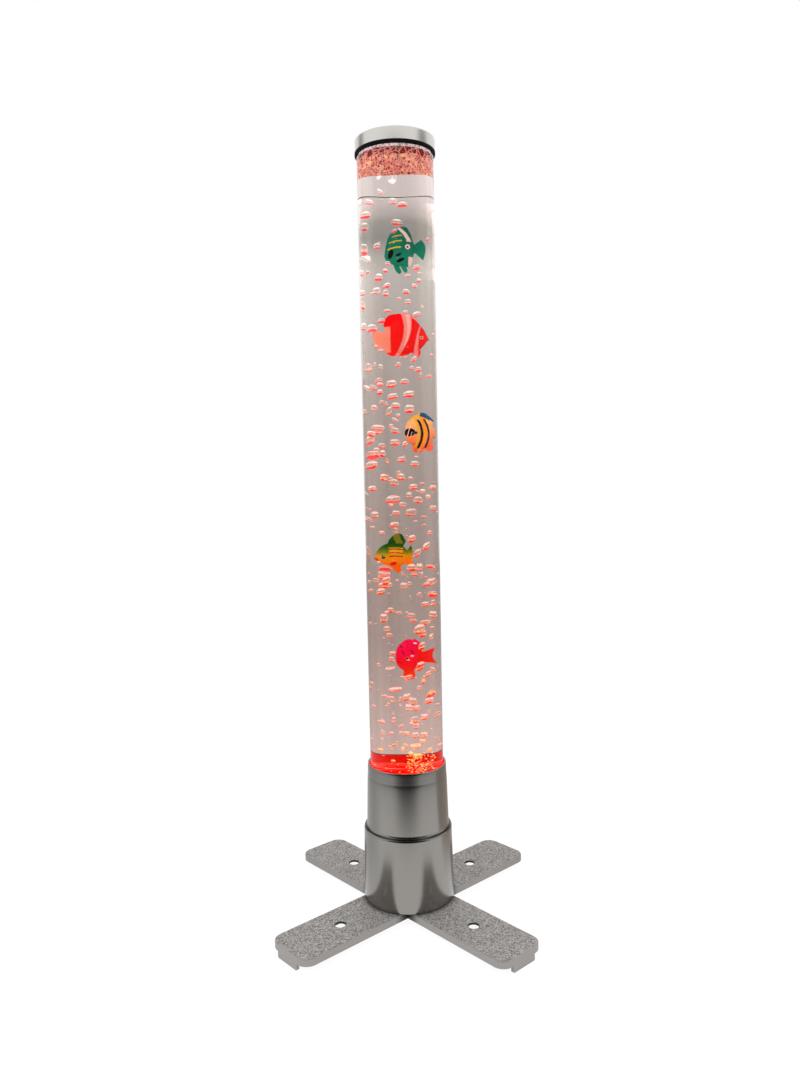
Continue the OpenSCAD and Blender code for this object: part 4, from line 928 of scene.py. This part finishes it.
def bubble_stream_tree():
    """Points strewn in an upright column, kept off the fish, each a flat bubble."""
    tree, given, put = node_group("bubble_stream", {
        "Count": 100, "Seed": 0, "Low": 0.2, "High": 0.96, "Crowding": 1.0, "Reach": 0.03,
        "Centre": (0, 0, 0), "Bore": 0.045, "Smallest": 0.001, "Largest": 0.003,
        "Flatness": 0.55, "Clearance": 0.003}, {"Geometry": "Geometry"}, "GeometryNodeTree")
    draws = []

    def chance(low, high):
        """A random number for each point, from a seed of its own."""
        draws.append(given["Seed"] + 17.0 * (len(draws) + 1))
        return add(tree, "FunctionNodeRandomValue", {2: low, 3: high, 8: draws[-1]}, 1,
                   data_type="FLOAT")

    def between(share, low, high):
        return maths("MULTIPLY_ADD", share, given[high] - given[low], given[low])

    turn, out, rise = chance(0.0, 2 * math.pi), chance(0.0, 1.0), chance(0.0, 1.0)
    out = maths("SQRT", out) * given["Reach"]
    height = between(maths("POWER", rise, given["Crowding"]), "Low", "High")
    strewn = add(tree, "CombineXYZ", {0: maths("COSINE", turn) * out,
                                      1: maths("SINE", turn) * out, 2: height})
    points = add(tree, "GeometryNodePoints", {"Count": given["Count"],
                                              "Position": vector("ADD", strewn, given["Centre"])})
    flat = vector("MULTIPLY", add(tree, "GeometryNodeInputPosition"), (1, 1, 0))
    outside = maths("GREATER_THAN", vector("LENGTH", flat), given["Bore"])
    shoal = add(tree, "GeometryNodeCollectionInfo", {"Collection": swimmers},
                transform_space="ORIGINAL")
    shoal = add(tree, "GeometryNodeRealizeInstances", {0: shoal})
    gap = add(tree, "GeometryNodeProximity", {0: shoal}, "Distance", target_element="FACES")
    drop = maths("MAXIMUM", outside, maths("LESS_THAN", gap, given["Clearance"]))
    kept = add(tree, "GeometryNodeDeleteGeometry", {0: points, 1: drop}, domain="POINT")
    ball = add(tree, "GeometryNodeMeshUVSphere", {"Segments": 12, "Rings": 7, "Radius": 1.0})
    tilt = add(tree, "CombineXYZ", {0: chance(-0.45, 0.45), 1: chance(-0.45, 0.45),
                                    2: chance(0.0, 6.28)})
    girth = between(maths("POWER", chance(0.0, 1.0), 1.8), "Smallest", "Largest")
    squat = girth * (given["Flatness"] * chance(0.75, 1.35))
    scale = add(tree, "CombineXYZ", {0: girth * chance(0.8, 1.3), 1: girth, 2: squat})
    placed = add(tree, "GeometryNodeInstanceOnPoints", {
        "Points": kept, "Instance": add(tree, "GeometryNodeSetShadeSmooth", {0: ball}),
        "Rotation": tilt, "Scale": scale})
    marked = add(tree, "GeometryNodeStoreNamedAttribute", {
        0: placed, "Name": "glint", "Value": chance(0.0, 1.0)}, data_type="FLOAT",
        domain="INSTANCE")
    real = add(tree, "GeometryNodeRealizeInstances", {0: marked})
    feed(put, {0: add(tree, "GeometryNodeSetMaterial", {0: real, "Material": air})})
    return tree


def made_by(tree, name, **sizes):
    """The tree's result as a plain mesh."""
    carrier = linked(name, bpy.data.meshes.new(name + "_seed"))
    modifier = carrier.modifiers.new("made", "NODES")
    modifier.node_group = tree
    for socket in tree.interface.items_tree:
        if socket.item_type == "SOCKET" and socket.in_out == "INPUT" and socket.name in sizes:
            modifier[socket.identifier] = sizes[socket.name]
    bpy.context.view_layer.update()
    result = bpy.data.meshes.new_from_object(
        carrier.evaluated_get(bpy.context.evaluated_depsgraph_get()))
    bpy.data.objects.remove(carrier)
    return result


stream = bubble_stream_tree()
work = bmesh.new()
labels = "Count", "Low", "High", "Crowding", "Reach", "Centre", "Smallest", "Largest"
for number, row in enumerate([
        (30, 0.205, 0.955, 1.0, 0.042, (0.0, 0.012, 0.0), 1.4 * MM, 3.4 * MM),
        (95, 0.21, 0.60, 1.25, 0.042, (0.006, 0.0, 0.0), 0.9 * MM, 3.0 * MM),
        (210, 0.1975, 0.226, 1.5, 0.018, (0.017, -0.012, 0.0), 0.3 * MM, 1.5 * MM),
        (30, 0.1965, 0.199, 1.0, 0.040, (0.0, -0.004, 0.0), 0.4 * MM, 1.2 * MM),
        (170, 0.201, 0.955, 1.3, 0.044, (0.0, 0.0, 0.0), 0.3 * MM, 1.0 * MM)]):
    work.from_mesh(made_by(stream, f"stream_{number}", Seed=number * 7 + 3,
                           **dict(zip(labels, row))))
mesh = mesh_of("bubbles", work)
mesh.materials.append(air)
bubbles = linked("bubbles", mesh)
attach(bubbles, "stand")

# Each large bubble: middle x, y, z, then width and height, in millimetres
LARGE = [
    (-17, 16, 976, 6, 8), (-15, -6, 963, 4, 10), (-4, 24, 980, 5, 5), (-27, -6, 951, 6, 13),
    (-28, 24, 960, 2, 11), (-4, 24, 957, 7, 10), (4, 24, 952, 9, 7), (-27, 16, 940, 9, 9),
    (-34, -10, 920, 10, 12), (0, 6, 926, 11, 8), (-1, -24, 909, 7, 4), (36, -14, 901, 6, 3),
    (-21, -24, 891, 9, 8), (-37, -16, 890, 12, 16), (-25, 24, 885, 5, 15), (-9, -24, 869, 6, 6),
    (23, -24, 863, 10, 6), (-12, -24, 860, 6, 5), (-31, -10, 862, 5, 4), (-38, 0, 864, 7, 11),
    (-20, -24, 852, 10, 10), (-11, -26, 841, 9, 6), (26, -24, 847, 6, 5), (18, -6, 843, 5, 7),
    (-20, 6, 840, 8, 10), (-12, -16, 833, 7, 9), (-35, 6, 839, 7, 9), (7, 16, 839, 7, 7),
    (13, -26, 820, 7, 7), (-31, 16, 824, 4, 11), (9, -24, 807, 7, 5), (22, -24, 804, 12, 7),
    (28, -16, 815, 3, 4), (-18, -24, 797, 9, 5), (-39, -10, 793, 9, 11), (-30, -24, 788, 14, 10),
    (41, -9, 781, 4, 6), (-25, -24, 765, 5, 4), (-19, -24, 760, 7, 3), (39, -11, 754, 6, 4),
    (9, -24, 750, 4, 3), (18, -24, 747, 10, 5), (-26, 24, 743, 5, 11), (-27, -24, 742, 4, 6),
    (-19, -16, 740, 5, 9), (0, -24, 741, 7, 6), (12, 6, 739, 5, 5), (20, -6, 736, 8, 6),
    (25, -16, 729, 3, 5), (29, 6, 728, 7, 4), (-22, -16, 722, 9, 6), (-21, -26, 716, 8, 6),
    (-8, -16, 717, 12, 10), (4, 16, 722, 8, 8), (-29, 16, 715, 4, 11), (-25, 6, 715, 5, 10),
    (-21, -16, 707, 8, 6), (-7, -16, 701, 12, 8), (12, -26, 703, 13, 9), (-20, -26, 693, 7, 5),
    (-14, -16, 692, 4, 6), (-28, -16, 687, 8, 9), (-4, -16, 689, 10, 9), (12, -24, 684, 12, 11),
    (-11, -16, 682, 6, 13), (-40, -6, 683, 7, 7), (-1, -24, 676, 5, 5), (-5, -6, 671, 4, 9),
    (-9, -16, 663, 5, 6), (-21, 16, 662, 12, 9), (-6, 24, 658, 7, 10), (-20, 24, 657, 7, 7),
    (-33, -16, 653, 12, 8), (-34, -10, 645, 16, 10), (-6, 24, 642, 9, 10), (6, -24, 639, 8, 5),
    (-20, -16, 637, 9, 8), (-24, 6, 632, 6, 7), (-30, -6, 625, 17, 8), (-20, -26, 627, 8, 9),
    (-14, -6, 617, 3, 8), (2, -24, 619, 10, 8), (13, 6, 613, 9, 8), (-33, -10, 612, 17, 11),
    (-2, -16, 602, 5, 5), (0, -6, 596, 9, 10), (-19, -26, 596, 9, 10), (-11, -6, 593, 5, 7),
    (-7, -6, 589, 9, 10), (8, 16, 594, 4, 6), (28, 16, 581, 7, 6), (15, -26, 583, 10, 8),
    (-27, 16, 581, 8, 7), (-29, 24, 574, 1, 7), (17, 24, 576, 5, 8), (8, -6, 572, 7, 9),
    (-9, -26, 567, 18, 11), (18, -6, 565, 10, 11), (29, -6, 569, 6, 8), (-11, -6, 559, 5, 6),
    (1, 6, 559, 7, 8), (-29, 24, 554, 2, 9), (10, -6, 549, 12, 11), (37, -10, 554, 11, 8),
    (-6, 6, 548, 7, 8), (-27, 6, 546, 8, 10), (-28, 24, 539, 3, 9), (-8, -24, 534, 11, 7),
    (-6, -24, 528, 4, 5), (33, -16, 522, 7, 6), (12, -24, 515, 11, 9), (30, -26, 505, 14, 7),
    (-40, -10, 498, 6, 13), (18, -24, 496, 14, 7), (-20, -24, 476, 17, 6), (-21, -24, 469, 16, 8),
    (11, -24, 477, 11, 10), (18, -6, 476, 8, 11), (32, -10, 476, 13, 5), (1, -24, 469, 4, 6),
    (14, -24, 468, 9, 5), (15, 24, 462, 3, 11), (-20, -6, 463, 13, 7), (-41, -9, 468, 6, 3),
    (-27, 6, 457, 6, 7), (-19, -26, 460, 14, 9), (-31, 16, 454, 3, 4), (0, 6, 450, 8, 10),
    (7, -6, 454, 5, 6), (-18, 6, 451, 14, 9), (25, 16, 453, 9, 12), (29, -26, 454, 11, 5),
    (-33, 6, 443, 7, 5), (-26, -26, 446, 12, 8), (13, 24, 435, 4, 8), (34, -10, 439, 14, 6),
    (19, 16, 423, 8, 7), (36, -16, 428, 7, 9), (-14, -26, 421, 8, 8), (-4, -16, 416, 6, 5),
    (-20, 6, 406, 8, 12), (8, -6, 411, 8, 8), (26, 16, 408, 7, 10), (10, -6, 404, 8, 5),
    (19, 16, 398, 10, 7), (19, -24, 395, 16, 12), (34, -16, 395, 6, 4), (23, -24, 388, 11, 7),
    (33, -17, 383, 6, 10), (-18, -6, 393, 8, 8), (-16, -24, 387, 7, 7), (-34, 6, 398, 4, 4),
    (22, -24, 372, 12, 8), (-13, -24, 363, 8, 6), (-14, -24, 355, 6, 8), (-31, -26, 347, 6, 6),
    (19, -24, 345, 14, 9), (34, -16, 338, 6, 9), (29, -24, 334, 10, 6), (23, -24, 326, 5, 13),
    (5, -24, 330, 11, 7), (12, 16, 308, 5, 6), (-10, 24, 305, 12, 6), (-16, -24, 343, 13, 3),
    (-38, -6, 318, 6, 4), (-39, 0, 310, 7, 4), (-14, -26, 312, 7, 4), (-13, 6, 294, 5, 9),
    (-5, -26, 301, 4, 7), (2, -16, 302, 12, 8), (8, -6, 294, 10, 10), (2, 16, 281, 7, 10),
    (9, 16, 280, 8, 8), (28, -6, 303, 13, 4), (28, -16, 296, 12, 8), (20, -6, 272, 9, 9),
    (25, -6, 278, 3, 7), (25, 24, 267, 4, 8), (-12, 16, 272, 3, 6), (-13, -26, 273, 6, 8),
    (-5, -6, 260, 8, 4), (7, 24, 262, 8, 10), (11, -6, 260, 7, 8), (-24, -6, 250, 4, 8),
    (-27, -16, 244, 3, 3), (-16, -26, 255, 6, 4), (-1, 24, 243, 6, 6), (11, -16, 250, 8, 8),
    (14, 24, 240, 7, 8), (13, 24, 231, 5, 7), (-12, -6, 234, 6, 3), (-1, 6, 230, 5, 7),
    (11, -16, 235, 12, 6), (26, 24, 223, 3, 4), (30, -26, 231, 7, 6), (-3, -26, 233, 4, 7),
    (3, 16, 216, 5, 8), (9, 16, 212, 9, 8)]
work = bmesh.new()
glint_of = work.verts.layers.float.new("glint")
for number, (x, y, z, wide, tall) in enumerate(LARGE):
    ball = bmesh.ops.create_uvsphere(work, u_segments=16, v_segments=10, radius=1.0)["verts"]
    draw = [noise.cell(Vector((number * 1.37 + 0.5, k * 2.1 + 0.5, 0.5))) for k in range(3)]
    tilt = (Matrix.Rotation((draw[0] - 0.5) * 0.7, 3, "Y")
            @ Matrix.Rotation((draw[1] - 0.5) * 0.5, 3, "X"))
    middle = Vector((x, y, z))
    for v in ball:
        bulge = 1 + 0.16 * noise.noise(v.co * 1.3 + middle)
        shape = Vector((v.co.x * wide / 2, v.co.y * wide / 2 * 0.9, v.co.z * tall / 2)) * bulge
        v.co = (middle + tilt @ shape) * MM
        v[glint_of] = draw[2]
mesh = mesh_of("large_bubbles", work)
mesh.shade_smooth()
mesh.materials.append(air)
large = linked("large_bubbles", mesh)
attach(large, "stand")

# -------------------------------------------------------------------- cap
# A silver cap with a satin spray finish, pushed onto the tube's end over a
# black rubber seal. It has a soft top edge and a ring of small air vents.

silver = finish("satin_silver", (0.68, 0.66, 0.63), 0.27, size=0.8, shade=0.05, gloss=0.08,
                Metallic=1.0)
cap = merged_copy("cap", "cap_shell", silver)
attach(cap, "cap")
collar = merged_copy("cap_collar", "cap_seal", rubber)
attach(collar, "cap")
